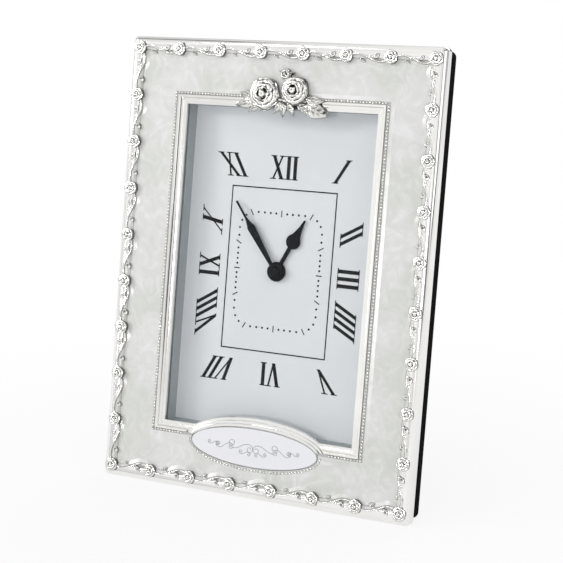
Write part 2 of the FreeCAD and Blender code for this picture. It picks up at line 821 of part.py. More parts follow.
def button_spots():
    """The four pivots of the turn buttons, with the side each one points to."""
    return [(across, up) for up in (1, -1) for across in (-1, 1)]


def button_pivot(across, up):
    return f"{across} * place.button_across", f"{up} * place.button_up"


def core_block(body):
    """The board's outer form, with its rounded corners."""
    pad(rectangle(new_sketch(body, "size.lip_thickness"), "place.core_width", "place.core_height"),
        "place.core_back - size.lip_thickness")
    round_edges(body, "size.board_round - size.velvet_thickness",
                at_corner("place.core_width", "place.core_height"))
    return body


def board_core():
    """The board that fills the shell: a ring round the glass, spacer, dial and panel."""
    body = core_block(new_body("board_core"))
    pocket(rectangle(new_sketch(body, "size.lip_thickness"), "place.board_hole_width",
                     "place.board_hole_height"), "place.core_back")
    holes = new_sketch(body, "place.back_face - size.button_screw_length")
    for across, up in button_spots():
        circle(holes, "size.button_screw_shank", *button_pivot(across, up))
    pocket(holes, "size.button_screw_length")
    return body


def velvet_cover():
    """The velvet that wraps the board's sides and back."""
    body = doc.addObject("PartDesign::Body", "velvet_wrap")
    pad(rectangle(new_sketch(body, "size.lip_thickness"), "place.board_width", "place.board_height"),
        "place.back_face - size.lip_thickness")
    round_edges(body, "size.board_round", at_corner("place.board_width", "place.board_height"))
    bevel_edges(body, "size.velvet_bevel",
                around("place.back_face", "place.board_width", "place.board_height"))
    pocket(rectangle(new_sketch(body, "size.lip_thickness"), "place.board_hole_width",
                     "place.board_hole_height"), "place.back_face")
    holes = new_sketch(body, "size.lip_thickness")
    for across, up in button_spots():
        circle(holes, "size.button_screw_shank", *button_pivot(across, up))
    pocket(holes, "place.back_face")
    filling = core_block(doc.addObject("PartDesign::Body", "velvet_filling"))
    return finished(cut("velvet_cover", body, filling), "velvet_cover")


def turn_button(index, across, up):
    """One swivel clip, pointing over the panel that it holds."""
    label = f"turn_button_{index}"
    body = new_body(label)
    x, z = button_pivot(across, up)
    near_end = f"{x} + {across} * size.button_length * size.button_pivot_share"
    far_end = f"{x} - {across} * size.button_length * (1 - size.button_pivot_share)"
    low, high = f"{z} - size.button_width / 2", f"{z} + size.button_width / 2"
    corners = [(near_end, low), (near_end, high), (far_end, high), (far_end, low)]
    pad(outline(new_sketch(body, "place.button_front"), corners), "size.button_thickness")
    round_edges(body, "size.button_width * size.button_round_share", runs_back)
    pocket(circle(new_sketch(body, "place.button_front"),
                  "size.button_screw_shank + 2 * size.running_gap", x, z), "size.button_thickness")
    return body


def turn_button_screws():
    """The four round-headed screws that the clips turn on."""
    solids = []
    head_front = "place.button_back + size.slide_gap"
    for across, up in button_spots():
        x, z = map(number, button_pivot(across, up))
        shank = rod("size.button_screw_shank", "place.back_face - size.button_screw_length", head_front, x, z)
        head = crowned_head("size.button_screw_head", head_front, "size.button_screw_rise", x, z)
        solids.append(joined(shank, head))
    return shaped("turn_button_screws", Part.makeCompound(solids))


# The movement's case

TRAIN = ["third", "seconds", "intermediate", "rotor"]


def spot(name):
    """Where an arbor stands: the expressions of its x and z."""
    return f"place.{name}_x", f"place.{name}_z"


def mounting_pad():
    """The ring of foam tape that holds the movement to the panel."""
    body = new_body("mounting_pad")
    drawing = rectangle(new_sketch(body, "place.back_face"), "place.case_width", "place.case_width")
    inner = "place.case_width - 2 * size.pad_width"
    rectangle(drawing, inner, inner)
    pad(drawing, "size.pad_thickness")
    return body


def movement_front_plate():
    """The plate with the hollow boss through the dial, the front bearings and the motion wheel's post."""
    body = new_body("movement_front_plate")
    front = "place.movement_front"
    pad(rectangle(new_sketch(body, front), "place.case_width", "place.case_width"), "size.case_wall")
    round_edges(body, "size.case_round", at_corner("place.case_width", "place.case_width"))
    pad(circle(new_sketch(body, front), "size.boss_diameter"), f"{front} - place.boss_front", False)
    pocket(circle(new_sketch(body, "place.boss_front"), "size.hour_pipe_diameter + 2 * size.running_gap"),
           "place.plate_back - place.boss_front")
    seats = new_sketch(body, "place.plate_back")
    for name in TRAIN + ["knob"]:
        circle(seats, "size.pivot_diameter + 2 * size.running_gap", *spot(name))
    pocket(seats, "size.pivot_length + size.running_gap", False)
    pad(circle(new_sketch(body, "place.plate_back"), "size.arbor_diameter", *spot("motion")),
        "place.motion_layer + size.wheel_thickness - place.plate_back")
    return body


def movement_cover():
    """The rear shell: the train's room, the battery's bay, the rear bearings and the stator's posts."""
    body = new_body("movement_cover")
    front, inside = "place.plate_back", "place.cover_inside"
    pad(rectangle(new_sketch(body, front), "place.case_width", "place.case_width"),
        f"place.case_back - {front}")
    round_edges(body, "size.case_round", at_corner("place.case_width", "place.case_width"))
    room = rectangle(new_sketch(body, front), "place.room_width", "place.room_side - place.room_floor",
                     z="(place.room_side + place.room_floor) / 2")
    pocket(room, f"{inside} - {front}")
    bay = rectangle(new_sketch(body, front), "place.room_width", "size.bay_height", z="place.bay_middle")
    pocket(bay, f"{inside} - {front}")
    opening = rectangle(new_sketch(body, inside),
                        "size.battery_length + size.battery_cap_height + 2 * size.fit_gap",
                        "size.battery_diameter + size.fit_gap", z="place.bay_middle")
    pocket(opening, "size.case_wall")
    slots = new_sketch(body, "place.contact_front")
    for side in (-1, 1):
        rectangle(slots, "size.contact_thickness", "size.bay_wall",
                  f"{side} * (place.room_side - size.contact_thickness / 2)",
                  "place.room_floor - size.bay_wall / 2")
    pocket(slots, "size.contact_width")
    for name in ["minute"] + TRAIN:
        seat = f"place.{name}_seat"
        where = ("0", "0") if name == "minute" else spot(name)
        pad(circle(new_sketch(body, seat), "size.bearing_diameter", *where),
            f"{inside} + size.case_wall / 2 - {seat}")
        pocket(circle(new_sketch(body, seat), "size.pivot_diameter + 2 * size.running_gap", *where),
               "size.pivot_length + size.running_gap")
    for end in ("size.stator_arm / 2", "size.stator_height - size.stator_arm / 2"):
        pad(circle(new_sketch(body, "place.stator_back"), "size.stator_post", "place.rotor_x",
                   f"place.stator_low + {end}"),
            f"{inside} + size.case_wall / 2 - place.stator_back")
    pocket(circle(new_sketch(body, inside), "size.knob_shaft_diameter + 2 * size.running_gap",
                  *spot("knob")), "size.case_wall")
    return body


# Electrical pieces

def battery():
    """The dry cell, its raised cap against the positive contact."""
    left, right = number("place.battery_left"), number("place.battery_right")
    depth, level = number("place.battery_depth"), number("place.bay_middle")
    axis = Vector(1, 0, 0)
    cell = Part.makeCylinder(number("size.battery_diameter") / 2, right - left,
                             Vector(left, depth, level), axis)
    rims = [edge for edge in cell.Edges if near(edge.BoundBox.XLength, 0)]
    cell = cell.makeChamfer(number("size.battery_cap_height") / 2, rims)
    cap = Part.makeCylinder(number("size.battery_cap_diameter") / 2, number("size.battery_cap_height"),
                            Vector(right, depth, level), axis)
    return shaped("battery", joined(cell, cap))


def battery_contact_negative():
    """The left contact: a plate, a bowed spring against the cell and a tab up to the circuit board."""
    wall = "-place.room_side"
    low, high = "place.bay_middle - size.contact_plate / 2", "place.bay_middle + size.contact_plate / 2"
    face = f"{wall} + size.contact_thickness"
    front = "place.battery_depth - size.contact_plate / 2"
    back = "place.battery_depth + size.contact_plate / 2"
    plate = slab((wall, front, low), (face, "place.cover_inside", high))
    tab = slab((wall, "place.contact_front", high),
               (face, "place.cover_inside", "place.circuit_low + size.contact_plate"))
    crest = "place.battery_left"
    bow = [(face, front), (crest, "place.battery_depth - size.contact_width / 2"),
           (crest, "place.battery_depth + size.contact_width / 2"), (face, back)]
    under = [(face, f"{back} - size.contact_width"),
             (f"{crest} - size.contact_thickness", "place.battery_depth + size.contact_width / 4"),
             (f"{crest} - size.contact_thickness", "place.battery_depth - size.contact_width / 4"),
             (face, f"{front} + size.contact_width")]
    corners = [Vector(number(x), number(y), number(low)) for x, y in bow + under]
    spring = Part.Face(Part.makePolygon(corners + corners[:1]))
    spring = spring.extrude(Vector(0, 0, number("size.contact_plate")))
    return shaped("battery_contact_negative", joined(plate, tab, spring))


def battery_contact_positive():
    """The right contact: a plate at the cap and a strip along the bay's roof to the circuit board."""
    wall = "place.room_side"
    face = f"{wall} - size.contact_thickness"
    roof, strip_top = "place.room_floor", "place.room_floor + size.contact_thickness"
    low, high = "place.bay_middle - size.contact_plate / 2", "place.bay_middle + size.contact_plate / 2"
    front = "place.battery_depth - size.contact_plate / 2"
    end = "place.circuit_left + size.circuit_width / 2"
    plate = slab((face, front, low), (wall, "place.cover_inside", high))
    riser = slab((face, "place.contact_front", high), (wall, "place.cover_inside", strip_top))
    strip = slab((end, "place.contact_front", roof), (wall, "place.cover_inside", strip_top))
    tail = slab((end, "place.contact_front", strip_top),
                (f"{end} + size.contact_thickness", "place.cover_inside", "place.circuit_low"))
    return shaped("battery_contact_positive", joined(plate, riser, strip, tail))


def circuit_board():
    low = ("place.circuit_left", "place.circuit_front", "place.circuit_low")
    high = ("place.circuit_left + size.circuit_width", "place.cover_inside",
            "place.circuit_low + size.circuit_height")
    return shaped("circuit_board", slab(low, high))


def quartz_crystal():
    """The tuning crystal in its round can, lying on the board."""
    radius = number("size.crystal_diameter") / 2
    base = Vector(number("place.circuit_left + size.circuit_width / 2"),
                  number("place.circuit_front") - radius,
                  number("place.circuit_low + size.circuit_height * 2 / 3"))
    return shaped("quartz_crystal", Part.makeCylinder(radius, number("size.crystal_length"), base))


def control_chip():
    middle = "place.circuit_left + size.circuit_width / 2"
    level = "place.circuit_low + size.circuit_height / 3"
    low = (f"{middle} - size.chip_side / 2", "place.circuit_front - size.chip_height", level)
    high = (f"{middle} + size.chip_side / 2", "place.circuit_front", f"{level} + size.chip_side")
    return shaped("control_chip", slab(low, high))


def stator():
    """The soft iron plate: two arms round the rotor that reach to the coil's core."""
    body = new_body("stator")
    left, right, low = "place.stator_left", "place.stator_right", "place.stator_low"
    high, inner = f"{low} + size.stator_height", f"{left} + size.stator_back_width"
    corners = [(left, low), (right, low), (right, f"{low} + size.stator_arm"),
               (inner, f"{low} + size.stator_arm"), (inner, f"{high} - size.stator_arm"),
               (right, f"{high} - size.stator_arm"), (right, high), (left, high)]
    drawing = outline(new_sketch(body, "place.stator_front"), corners)
    circle(drawing, "size.rotor_diameter + 2 * size.stator_gap", *spot("rotor"))
    pad(drawing, "size.stator_thickness")
    return body


def coil():
    """The winding on its bobbin, with the flat core that lies on the stator's arms."""
    x = number("place.coil_x")
    core = number("size.coil_core")
    depth = number("place.stator_back") + core / 2
    low, height = number("place.stator_low"), number("size.stator_height")
    arm, flange = number("size.stator_arm + size.stator_gap"), number("size.coil_flange")
    span = height - 2 * arm
    radius = number("size.coil_diameter") / 2
    bar = Part.makeBox(2 * core, core, height, Vector(x - core, depth - core / 2, low))
    ends = [Part.makeCylinder(radius, flange, Vector(x, depth, low + arm + shift))
            for shift in (0, span - flange)]
    winding = Part.makeCylinder(radius - flange / 2, span, Vector(x, depth, low + arm))
    return shaped("coil", joined(bar, winding, *ends))


# Wheels, arbors and hands

def toothed(teeth, module, phase, front, thickness, x, z):
    """A toothed wheel: four corners to a tooth, narrowing to the tip."""
    pitch = teeth * module / 2
    half = math.pi / teeth * number("size.pitch_tooth_share")
    root = pitch - number("size.dedendum_share") * module
    tip = pitch + number("size.addendum_share") * module
    root_half, tip_half = half * number("size.root_tooth_share"), half * number("size.tip_tooth_share")
    corners = []
    for tooth in range(teeth):
        middle = phase + 2 * math.pi * tooth / teeth
        for reach, turn in ((root, -root_half), (tip, -tip_half), (tip, tip_half), (root, root_half)):
            angle = middle + turn
            corners.append(Vector(x + reach * math.cos(angle), front, z + reach * math.sin(angle)))
    return Part.Face(Part.makePolygon(corners + corners[:1])).extrude(Vector(0, thickness, 0))


def meshed(phase, teeth, start, other_teeth, end):
    """The phase that sets a wheel's gap on the tooth of the wheel that drives it."""
    toward = math.atan2(end[1] - start[1], end[0] - start[0])
    return toward + math.pi + math.pi / other_teeth - (phase - toward) * teeth / other_teeth


def arbor(name):
    """A steel arbor with a pivot in the front plate and one in the cover's boss."""
    x, z = map(number, spot(name))
    seat = f"place.{name}_seat"
    shaft = rod("size.arbor_diameter", "place.plate_back + size.running_gap",
                f"{seat} - size.running_gap", x, z)
    pivots = rod("size.pivot_diameter", "place.plate_back - size.pivot_length",
                 f"{seat} + size.pivot_length", x, z)
    return shaft.fuse(pivots)


def train_wheels():
    """The rotor and the wheels it drives, each wheel set to the pinion before it."""
    module, thickness = number("size.train_module"), number("size.wheel_thickness")
    leaves = int(number("size.pinion_leaves"))
    made = []
    chain = [("rotor", None), ("intermediate", "intermediate"), ("seconds", "seconds"), ("third", "third")]
    following = {"rotor": "intermediate", "intermediate": "seconds", "seconds": "third", "third": "centre"}
    for name, layer in chain:
        x, z = map(number, spot(name))
        next_layer = number(f"place.{following[name]}_layer")
        pinion = toothed(leaves, module, 0, next_layer, thickness, x, z)
        solids = [arbor(name), pinion]
        if layer is None:
            solids.append(rod("size.rotor_diameter", "place.rotor_layer", "place.rotor_back", x, z))
        else:
            solids.append(driven_wheel(name, previous))
        previous = (name, (x, z))
        made.append(shaped("rotor" if name == "rotor" else name + "_wheel", joined(*solids)))
    centre = driven_wheel("centre", previous)
    bore = rod("size.cannon_diameter + 2 * size.running_gap", "place.centre_layer - size.overrun",
               "place.centre_layer + size.wheel_thickness + size.overrun")
    made.append(shaped("centre_wheel", centre.cut(bore)))
    return made


def driven_wheel(name, driver):
    """A wheel of the train, turned so that the pinion that drives it fits between its teeth."""
    driver_name, start = driver
    end = (0.0, 0.0) if name == "centre" else tuple(map(number, spot(name)))
    teeth = int(number(f"size.{name}_teeth"))
    leaves = int(number("size.pinion_leaves"))
    phase = meshed(0, leaves, start, teeth, end)
    return toothed(teeth, number("size.train_module"), phase, number(f"place.{name}_layer"),
                   number("size.wheel_thickness"), *end)


def minute_arbor():
    """The arbor that carries the minute hand, with the cannon pinion cut on it."""
    teeth = int(number("size.cannon_teeth"))
    pinion = toothed(teeth, number("size.motion_module"), 0, number("place.motion_layer"),
                     number("size.wheel_thickness"), 0, 0)
    post = rod("size.cannon_diameter", "place.minute_hand_front - size.hand_nut_height / 2",
               "place.centre_layer + size.wheel_thickness + size.layer_gap / 2")
    neck = rod("size.arbor_diameter", "place.centre_layer", "place.minute_seat - size.running_gap")
    tail = rod("size.pivot_diameter", "place.centre_layer", "place.minute_seat + size.pivot_length")
    return shaped("minute_arbor", joined(post, pinion, neck, tail))


def motion_wheel():
    """The wheel on the plate's post: driven by the cannon pinion, it drives the hour wheel."""
    where = tuple(map(number, spot("motion")))
    phase = meshed(0, number("size.cannon_teeth"), (0.0, 0.0), number("size.motion_teeth"), where)
    wheel = toothed(int(number("size.motion_teeth")), number("size.motion_module"), phase,
                    number("place.motion_layer"), number("size.wheel_thickness"), *where)
    pinion = toothed(int(number("size.motion_pinion_teeth")), number("place.hour_module"), 0,
                     number("place.hour_layer"), number("place.motion_layer - place.hour_layer"), *where)
    bore = rod("size.arbor_diameter + 2 * size.running_gap", "place.hour_layer - size.overrun",
               "place.motion_layer + size.overrun", *where)
    return shaped("motion_wheel", joined(wheel, pinion).cut(bore))


def hour_wheel():
    """The hour wheel and its pipe, which runs in the boss and carries the hour hand."""
    where = tuple(map(number, spot("motion")))
    phase = meshed(0, number("size.motion_pinion_teeth"), where, number("size.hour_teeth"), (0.0, 0.0))
    wheel = toothed(int(number("size.hour_teeth")), number("place.hour_module"), phase,
                    number("place.hour_layer"), number("size.wheel_thickness"), 0, 0)
    pipe = rod("size.hour_pipe_diameter", "place.hour_hand_front", "place.hour_layer")
    bore = rod("size.cannon_diameter + 2 * size.running_gap", "place.hour_hand_front - size.overrun",
               "place.hour_layer + size.wheel_thickness + size.overrun")
    return shaped("hour_wheel", joined(wheel, pipe).cut(bore))


def setting_knob():
    """The knob behind the case, its shaft and the pinion that turns the motion wheel."""
    x, z = map(number, spot("knob"))
    start = tuple(map(number, spot("motion")))
    cannon, motion = number("size.cannon_teeth"), number("size.motion_teeth")
    phase = meshed(meshed(0, cannon, (0.0, 0.0), motion, start), motion, start, cannon, (x, z))
    pinion = toothed(int(cannon), number("size.motion_module"), phase, number("place.motion_layer"),
                     number("size.wheel_thickness"), x, z)
    knob_front = "place.case_back + size.layer_gap"
    shaft = rod("size.knob_shaft_diameter", "place.plate_back + size.running_gap", knob_front, x, z)
    pivot = rod("size.pivot_diameter", "place.plate_back - size.pivot_length", "place.motion_layer", x, z)
    grips = int(number("size.knob_grips"))
    corners = []
    for step in range(2 * grips):
        angle = math.pi * step / grips
        reach = number("size.knob_diameter") / 2 - number("size.layer_gap") * (step % 2)
        corners.append(Vector(x + reach * math.cos(angle), number(knob_front), z + reach * math.sin(angle)))
    grip = Part.Face(Part.makePolygon(corners + corners[:1]))
    grip = grip.extrude(Vector(0, number("size.knob_height"), 0))
    return shaped("setting_knob", joined(pinion, shaft, pivot, grip))


def blade(right_side, front):
    """A flat hand from the outline of its right side: straight runs, and arcs through a middle point."""
    edges = []
    for run in right_side:
        for mirror in (1, -1):
            corners = [Vector(mirror * x, front, z) for x, z in run]
            edges.append(Part.LineSegment(*corners) if len(run) == 2 else Part.Arc(*corners))
    for z in (right_side[0][0][1], right_side[-1][-1][1]):
        half = right_side[0][0][0] if z == 0 else right_side[-1][-1][0]
        edges.append(Part.LineSegment(Vector(-half, front, z), Vector(half, front, z)))
    wire = Part.Wire(Part.__sortEdges__([edge.toShape() for edge in edges]))
    return Part.Face(wire).extrude(Vector(0, number("size.hand_thickness"), 0))


def hand(label, shape, hub, bore, front, back, angle):
    """A hand on its hub, bored for its pipe and turned to the time shown."""
    shape.rotate(Vector(0, 0, 0), Vector(0, 1, 0), angle)
    hole = rod(bore, f"{front} - size.overrun", f"{back} + size.overrun")
    return shaped(label, joined(rod(hub, front, back), shape).cut(hole))


def hour_hand():
    """The hour hand: a straight neck, a round bulb and a drawn-out point."""
    length, radius = number("size.hour_hand_length"), number("size.hour_hand_bulb") / 2
    middle = length * number("size.hour_hand_bulb_share")
    neck, tip = number("size.hour_hand_neck") / 2, number("size.hand_tip") / 2
    below = middle - math.sqrt(radius ** 2 - neck ** 2)
    leave = math.radians(number("size.hour_hand_shoulder_angle"))
    shoulder = (radius * math.cos(leave), middle + radius * math.sin(leave))
    drawn_in = number("size.hour_hand_hollow_share")
    hollow = ((shoulder[0] + tip) / 2 * drawn_in, (shoulder[1] + length) / 2)
    side = [[(neck, 0), (neck, below)], [(neck, below), (radius, middle), shoulder],
            [shoulder, hollow, (tip, length)]]
    turn = 360 / number("size.dial_hours") * number("size.shown_minute / size.dial_minutes")
    return hand("hour_hand", blade(side, number("place.hour_hand_front")), "size.hand_hub",
                "size.hour_pipe_diameter", "place.hour_hand_front", "place.hour_hand_back", turn)


def minute_hand():
    """The minute hand: it widens to a shoulder and runs out in a needle."""
    length, half = number("size.minute_hand_length"), number("size.minute_hand_width") / 2
    neck, tip = number("size.minute_hand_neck") / 2, number("size.hand_tip") / 2
    wide, needle = (length * number(f"size.minute_hand_{part}_share") for part in ("width", "needle"))
    hollow = ((half + tip) / 2 * number("size.minute_hand_hollow_share"), (wide + needle) / 2)
    side = [[(neck, 0), (half, wide)], [(half, wide), hollow, (tip, needle)], [(tip, needle), (tip, length)]]
    turn = 360 * number("size.shown_minute / size.dial_minutes")
    return hand("minute_hand", blade(side, number("place.minute_hand_front")), "size.minute_hub",
                "size.cannon_diameter", "place.minute_hand_front", "place.minute_hand_back", turn)


def hand_nut():
    """The polished cap on the end of the minute arbor."""
    cap = rod("size.hand_nut_diameter", "place.nut_front", "place.minute_hand_front")
    rim = [edge for edge in cap.Edges if near(edge.BoundBox.YMax, cap.BoundBox.YMin)]
    cap = cap.makeChamfer(number("size.hand_nut_height") / 2, rim)
    bore = rod("size.cannon_diameter", "place.minute_hand_front - size.hand_nut_height / 2",
               "place.minute_hand_front + size.overrun")
    return shaped("hand_nut", cap.cut(bore))


# The easel strut and its hinge, drawn folded against the back

def rivet_spots(side):
    """Two rivets through a leaf, above the pin for side 1 and below it for side -1."""
    level = f"{side} * size.leaf_length * size.rivet_share - place.hinge_drop"
    return [(f"{across} * size.leaf_width / 4", level) for across in (-1, 1)]


def easel_strut():
    """The strut: wider at its foot, which is cut to lie flat on the table when it is open."""
    body = new_body("easel_strut")
    top = "-place.hinge_drop - place.strut_top"
    foot = "-place.hinge_drop - place.foot_back"
    corners = [("-size.strut_foot_width / 2", foot), ("size.strut_foot_width / 2", foot),
               ("size.strut_top_width / 2", top), ("-size.strut_top_width / 2", top)]
    pad(outline(new_sketch(body, "place.strut_front"), corners), "size.strut_thickness")
    round_edges(body, "size.strut_round", runs_back)
    front_foot = "-place.hinge_drop - place.foot_front"
    wedge = [("place.strut_front", front_foot), ("place.strut_back", foot), ("place.strut_front", foot)]
    pocket(outline(new_sketch(body, role="YZ_Plane"), wedge), "size.strut_foot_width").Midplane = True
    holes = new_sketch(body, "place.strut_front")
    for x, z in rivet_spots(-1):
        circle(holes, "size.rivet_diameter", x, z)
    pocket(holes, "size.strut_thickness")
    return body


def knuckle(start_share, end_share, gap):
    """A stretch of the hinge's barrel, as shares of the leaf's width, with a gap at its free ends."""
    width = number("size.leaf_width")
    start, end = width * (start_share - 0.5) + gap, width * (end_share - 0.5) - gap
    centre = Vector(start, number("place.hinge_depth"), -number("place.hinge_drop"))
    return Part.makeCylinder(number("size.knuckle_diameter") / 2, end - start, centre, Vector(1, 0, 0))


def hinge_leaf(label, share_runs, front, back, side, bore):
    """A leaf with its knuckles, notched round the other leaf's knuckles."""
    pin_level = number("-place.hinge_drop")
    reach = side * number("size.leaf_length")
    clear = side * number("place.knuckle_reach")
    half = number("size.leaf_width") / 2
    gap = number("size.slide_gap")
    low, high = sorted((pin_level + clear, pin_level + reach))
    depth = number(front)
    plate = Part.makeBox(2 * half, number(back) - depth, high - low, Vector(-half, depth, low))
    solids = [plate]
    for start_share, end_share in share_runs:
        solids.append(knuckle(start_share, end_share, gap))
        start, end = 2 * half * (start_share - 0.5) + gap, 2 * half * (end_share - 0.5) - gap
        near_edge, far_edge = sorted((pin_level, pin_level + clear))
        solids.append(Part.makeBox(end - start, number(back) - depth, far_edge - near_edge,
                                   Vector(start, depth, near_edge)))
    whole = joined(*solids)
    centre = Vector(-half, number("place.hinge_depth"), pin_level)
    hole = Part.makeCylinder(number(bore) / 2, 2 * half, centre, Vector(1, 0, 0))
    holes = [rod("size.rivet_diameter", f"{front} - size.overrun", f"{back} + size.overrun",
                 *map(number, where))
             for where in rivet_spots(side)]
    return shaped(label, whole.cut([hole] + holes))


def strut_hinge_plate():
    side_share = (1 - number("size.knuckle_share")) / 2
    return hinge_leaf("strut_hinge_plate", [(0, side_share), (1 - side_share, 1)],
                      "place.back_face", "place.leaf_back", 1, "size.pin_diameter")


def strut_hinge_flap():
    side_share = (1 - number("size.knuckle_share")) / 2
    return hinge_leaf("strut_hinge_flap", [(side_share, 1 - side_share)], "place.hinge_depth",
                      "place.strut_front", -1, "size.pin_diameter + 2 * size.running_gap")


def hinge_pin():
    length = number("size.leaf_width")
    centre = Vector(-length / 2, number("place.hinge_depth"), number("-place.hinge_drop"))
    radius = number("size.pin_diameter") / 2
    return shaped("hinge_pin", Part.makeCylinder(radius, length, centre, Vector(1, 0, 0)))


def rivets(label, side, front, back, heads):
    """Rivets through a leaf, with a head at each end that isn't set flush."""
    solids = []
    for where in rivet_spots(side):
        x, z = map(number, where)
        parts = [rod("size.rivet_diameter", front, back, x, z)]
        for face, outward in heads:
            rise = f"{outward} * size.rivet_head_height"
            parts.append(crowned_head("size.rivet_head_diameter", face, rise, x, z))
        solids.append(joined(*parts))
    return shaped(label, Part.makeCompound(solids))


def hinge_rivets():
    return rivets("hinge_rivets", 1, "place.dial_back", "place.leaf_back", [("place.leaf_back", 1)])


def strut_rivets():
    return rivets("strut_rivets", -1, "place.hinge_depth", "place.strut_back",
                  [("place.hinge_depth", -1), ("place.strut_back", 1)])


# Putting the clock together

front_frame()
enamel_field()
oval_plaque()
border_roses()
rose_cluster()
window_glass()
spacer_frame()
dial_card()
back_panel()
board_core()
velvet_cover()
for index, (across, up) in enumerate(button_spots(), start=1):
    turn_button(index, across, up)
turn_button_screws()
mounting_pad()
movement_front_plate()
movement_cover()
battery()
battery_contact_negative()
battery_contact_positive()
circuit_board()
quartz_crystal()
control_chip()
stator()
coil()
train_wheels()
minute_arbor()
motion_wheel()
hour_wheel()
setting_knob()
hour_hand()
minute_hand()
hand_nut()
opening_pieces = [easel_strut(), strut_hinge_flap(), strut_rivets()]
strut_hinge_plate()
hinge_pin()
hinge_rivets()
doc.recompute()


def stand(piece, opened):
    """Leans a piece back with the frame, and opens it with the strut where it belongs to that."""
    angle = "size.lean_angle - size.strut_angle" if opened else "size.lean_angle"
    shift = "place.strut_shift" if opened else "0"
    drop = "place.strut_drop" if opened else "0"
    piece.Placement = Placement(Vector(0, 0, 0), Rotation(Vector(-1, 0, 0), number(angle)))
    piece.setExpression("Placement.Rotation.Angle", angle)
    piece.setExpression("Placement.Base.y", f"{shift} + stance.shift")
    piece.setExpression("Placement.Base.z", f"place.edge_drop - {drop}")


# The clock's origin lies under the middle of its footprint: the middle is measured once it stands
stance_sheet = doc.addObject("Spreadsheet::Sheet", "stance")
fill_sheet(stance_sheet, {"shift": "0"})
doc.recompute()
for piece in pieces:
    stand(piece, piece in opening_pieces)
doc.recompute()
boxes = [piece.Shape.optimalBoundingBox(True, False) for piece in pieces]
middle = (min(box.YMin for box in boxes) + max(box.YMax for box in boxes)) / 2
stance_sheet.set("B1", str(-middle))
doc.recompute()

for feature in doc.Objects:
    if "Invalid" in feature.State or "Error" in feature.State:
        raise ValueError(f"{feature.Name} did not build: {feature.State}")
for feature in doc.findObjects("PartDesign::Pocket"):
    if feature.BaseFeature.Shape.Volume - feature.Shape.Volume <= 0:
        raise ValueError(f"{feature.Name} cuts nothing")

os.makedirs("parts", exist_ok=True)
for piece in pieces:
    if piece.Shape.isNull() or not piece.Shape.isValid():
        raise ValueError(f"{piece.Label} has no valid shape")
    piece.Shape.exportStep(f"parts/{piece.Label}.step")
    box = piece.Shape.BoundBox
    print(f"{piece.Label}: {len(piece.Shape.Solids)} solids, {piece.Shape.Volume:.1f} mm3, "
          f"{box.XLength:.1f} x {box.YLength:.1f} x {box.ZLength:.1f} mm")
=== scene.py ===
# %% [markdown]
# # A silver photo frame clock
# The model of the clock arrives with every piece in its place. This script dresses it: it gives
# each piece a finish, and adds the cast roses, the vine, the beads and the printed dial.
# Its depths and the rim follow from the imported pieces, so the dressing fits without any
# shifting by hand.

import json
import math
import bmesh
import bpy
from mathutils import Matrix, Vector

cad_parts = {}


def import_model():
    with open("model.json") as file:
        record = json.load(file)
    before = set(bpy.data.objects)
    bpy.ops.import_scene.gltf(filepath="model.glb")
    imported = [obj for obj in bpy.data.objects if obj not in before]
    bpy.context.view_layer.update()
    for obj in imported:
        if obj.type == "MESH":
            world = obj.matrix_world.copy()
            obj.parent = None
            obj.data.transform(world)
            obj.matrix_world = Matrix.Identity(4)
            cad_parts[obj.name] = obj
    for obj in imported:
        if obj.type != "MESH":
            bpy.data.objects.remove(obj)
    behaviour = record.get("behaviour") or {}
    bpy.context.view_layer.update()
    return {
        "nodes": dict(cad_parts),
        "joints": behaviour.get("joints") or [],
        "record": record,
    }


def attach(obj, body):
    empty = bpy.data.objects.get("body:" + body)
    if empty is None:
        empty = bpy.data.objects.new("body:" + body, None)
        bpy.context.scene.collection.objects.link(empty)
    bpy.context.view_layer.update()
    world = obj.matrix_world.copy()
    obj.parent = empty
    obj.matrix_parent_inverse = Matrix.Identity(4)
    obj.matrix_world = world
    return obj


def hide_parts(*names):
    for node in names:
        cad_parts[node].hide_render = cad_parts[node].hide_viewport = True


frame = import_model()
nodes = frame["nodes"]

# %% [markdown]
# ## The face's own axes
# The clock leans back, so drawing on its face is easier in axes of its own: x to the right,
# y from the viewer into the frame and z up the face, in millimetres from the window's middle.
# The minute hand's joint gives both the middle and the lean, and one matrix turns a drawing
# into its place in the room.

# %% Axes of the face
MM = 0.001
minute_joint = next(joint for joint in frame["joints"] if joint["name"] == "minute_turn")
WINDOW_MIDDLE = Vector(minute_joint["pos_m"])
INTO_FRAME = Vector(minute_joint["axis"]).normalized()
LEAN = math.atan2(-INTO_FRAME.z, INTO_FRAME.y)
FACE = Matrix.Translation(WINDOW_MIDDLE) @ Matrix.Rotation(-LEAN, 4, "X") @ Matrix.Scale(MM, 4)
print("lean in degrees:", round(math.degrees(LEAN), 2))


def face_box(node):
    """The lowest and highest corner of a piece in the face's axes, in millimetres."""
    corners = [FACE.inverted() @ vertex.co for vertex in nodes[node].data.vertices]
    low = Vector([min(corner[axis] for corner in corners) for axis in range(3)])
    high = Vector([max(corner[axis] for corner in corners) for axis in range(3)])
    return low, high


FRAME_LOW, FRAME_HALF = face_box("front_frame")
ENAMEL_LOW, ENAMEL_HALF = face_box("enamel_field")
PLAQUE_LOW, PLAQUE_HIGH = face_box("oval_plaque")
RIM_FRONT, ENAMEL_FRONT, PLATE_FRONT = FRAME_LOW.y, ENAMEL_LOW.y, PLAQUE_LOW.y
DIAL_FRONT = face_box("dial_card")[0].y
WINDOW_HALF = (47.5, 73.5)
MOULDING_WIDTH = 6.0
print("dial in mm:", round(DIAL_FRONT, 2), "rim:", round(RIM_FRONT, 2))

# %% [markdown]
# ## Writing a finish as arithmetic
# A shader is easier to read as a formula than as a web of boxes. `Value` wraps one socket and
# adds a Math node for each sign in an expression. Every other node comes from one method of
# `Nodes`, and a `Finish` holds the nodes of one material.

# %% Shader helpers


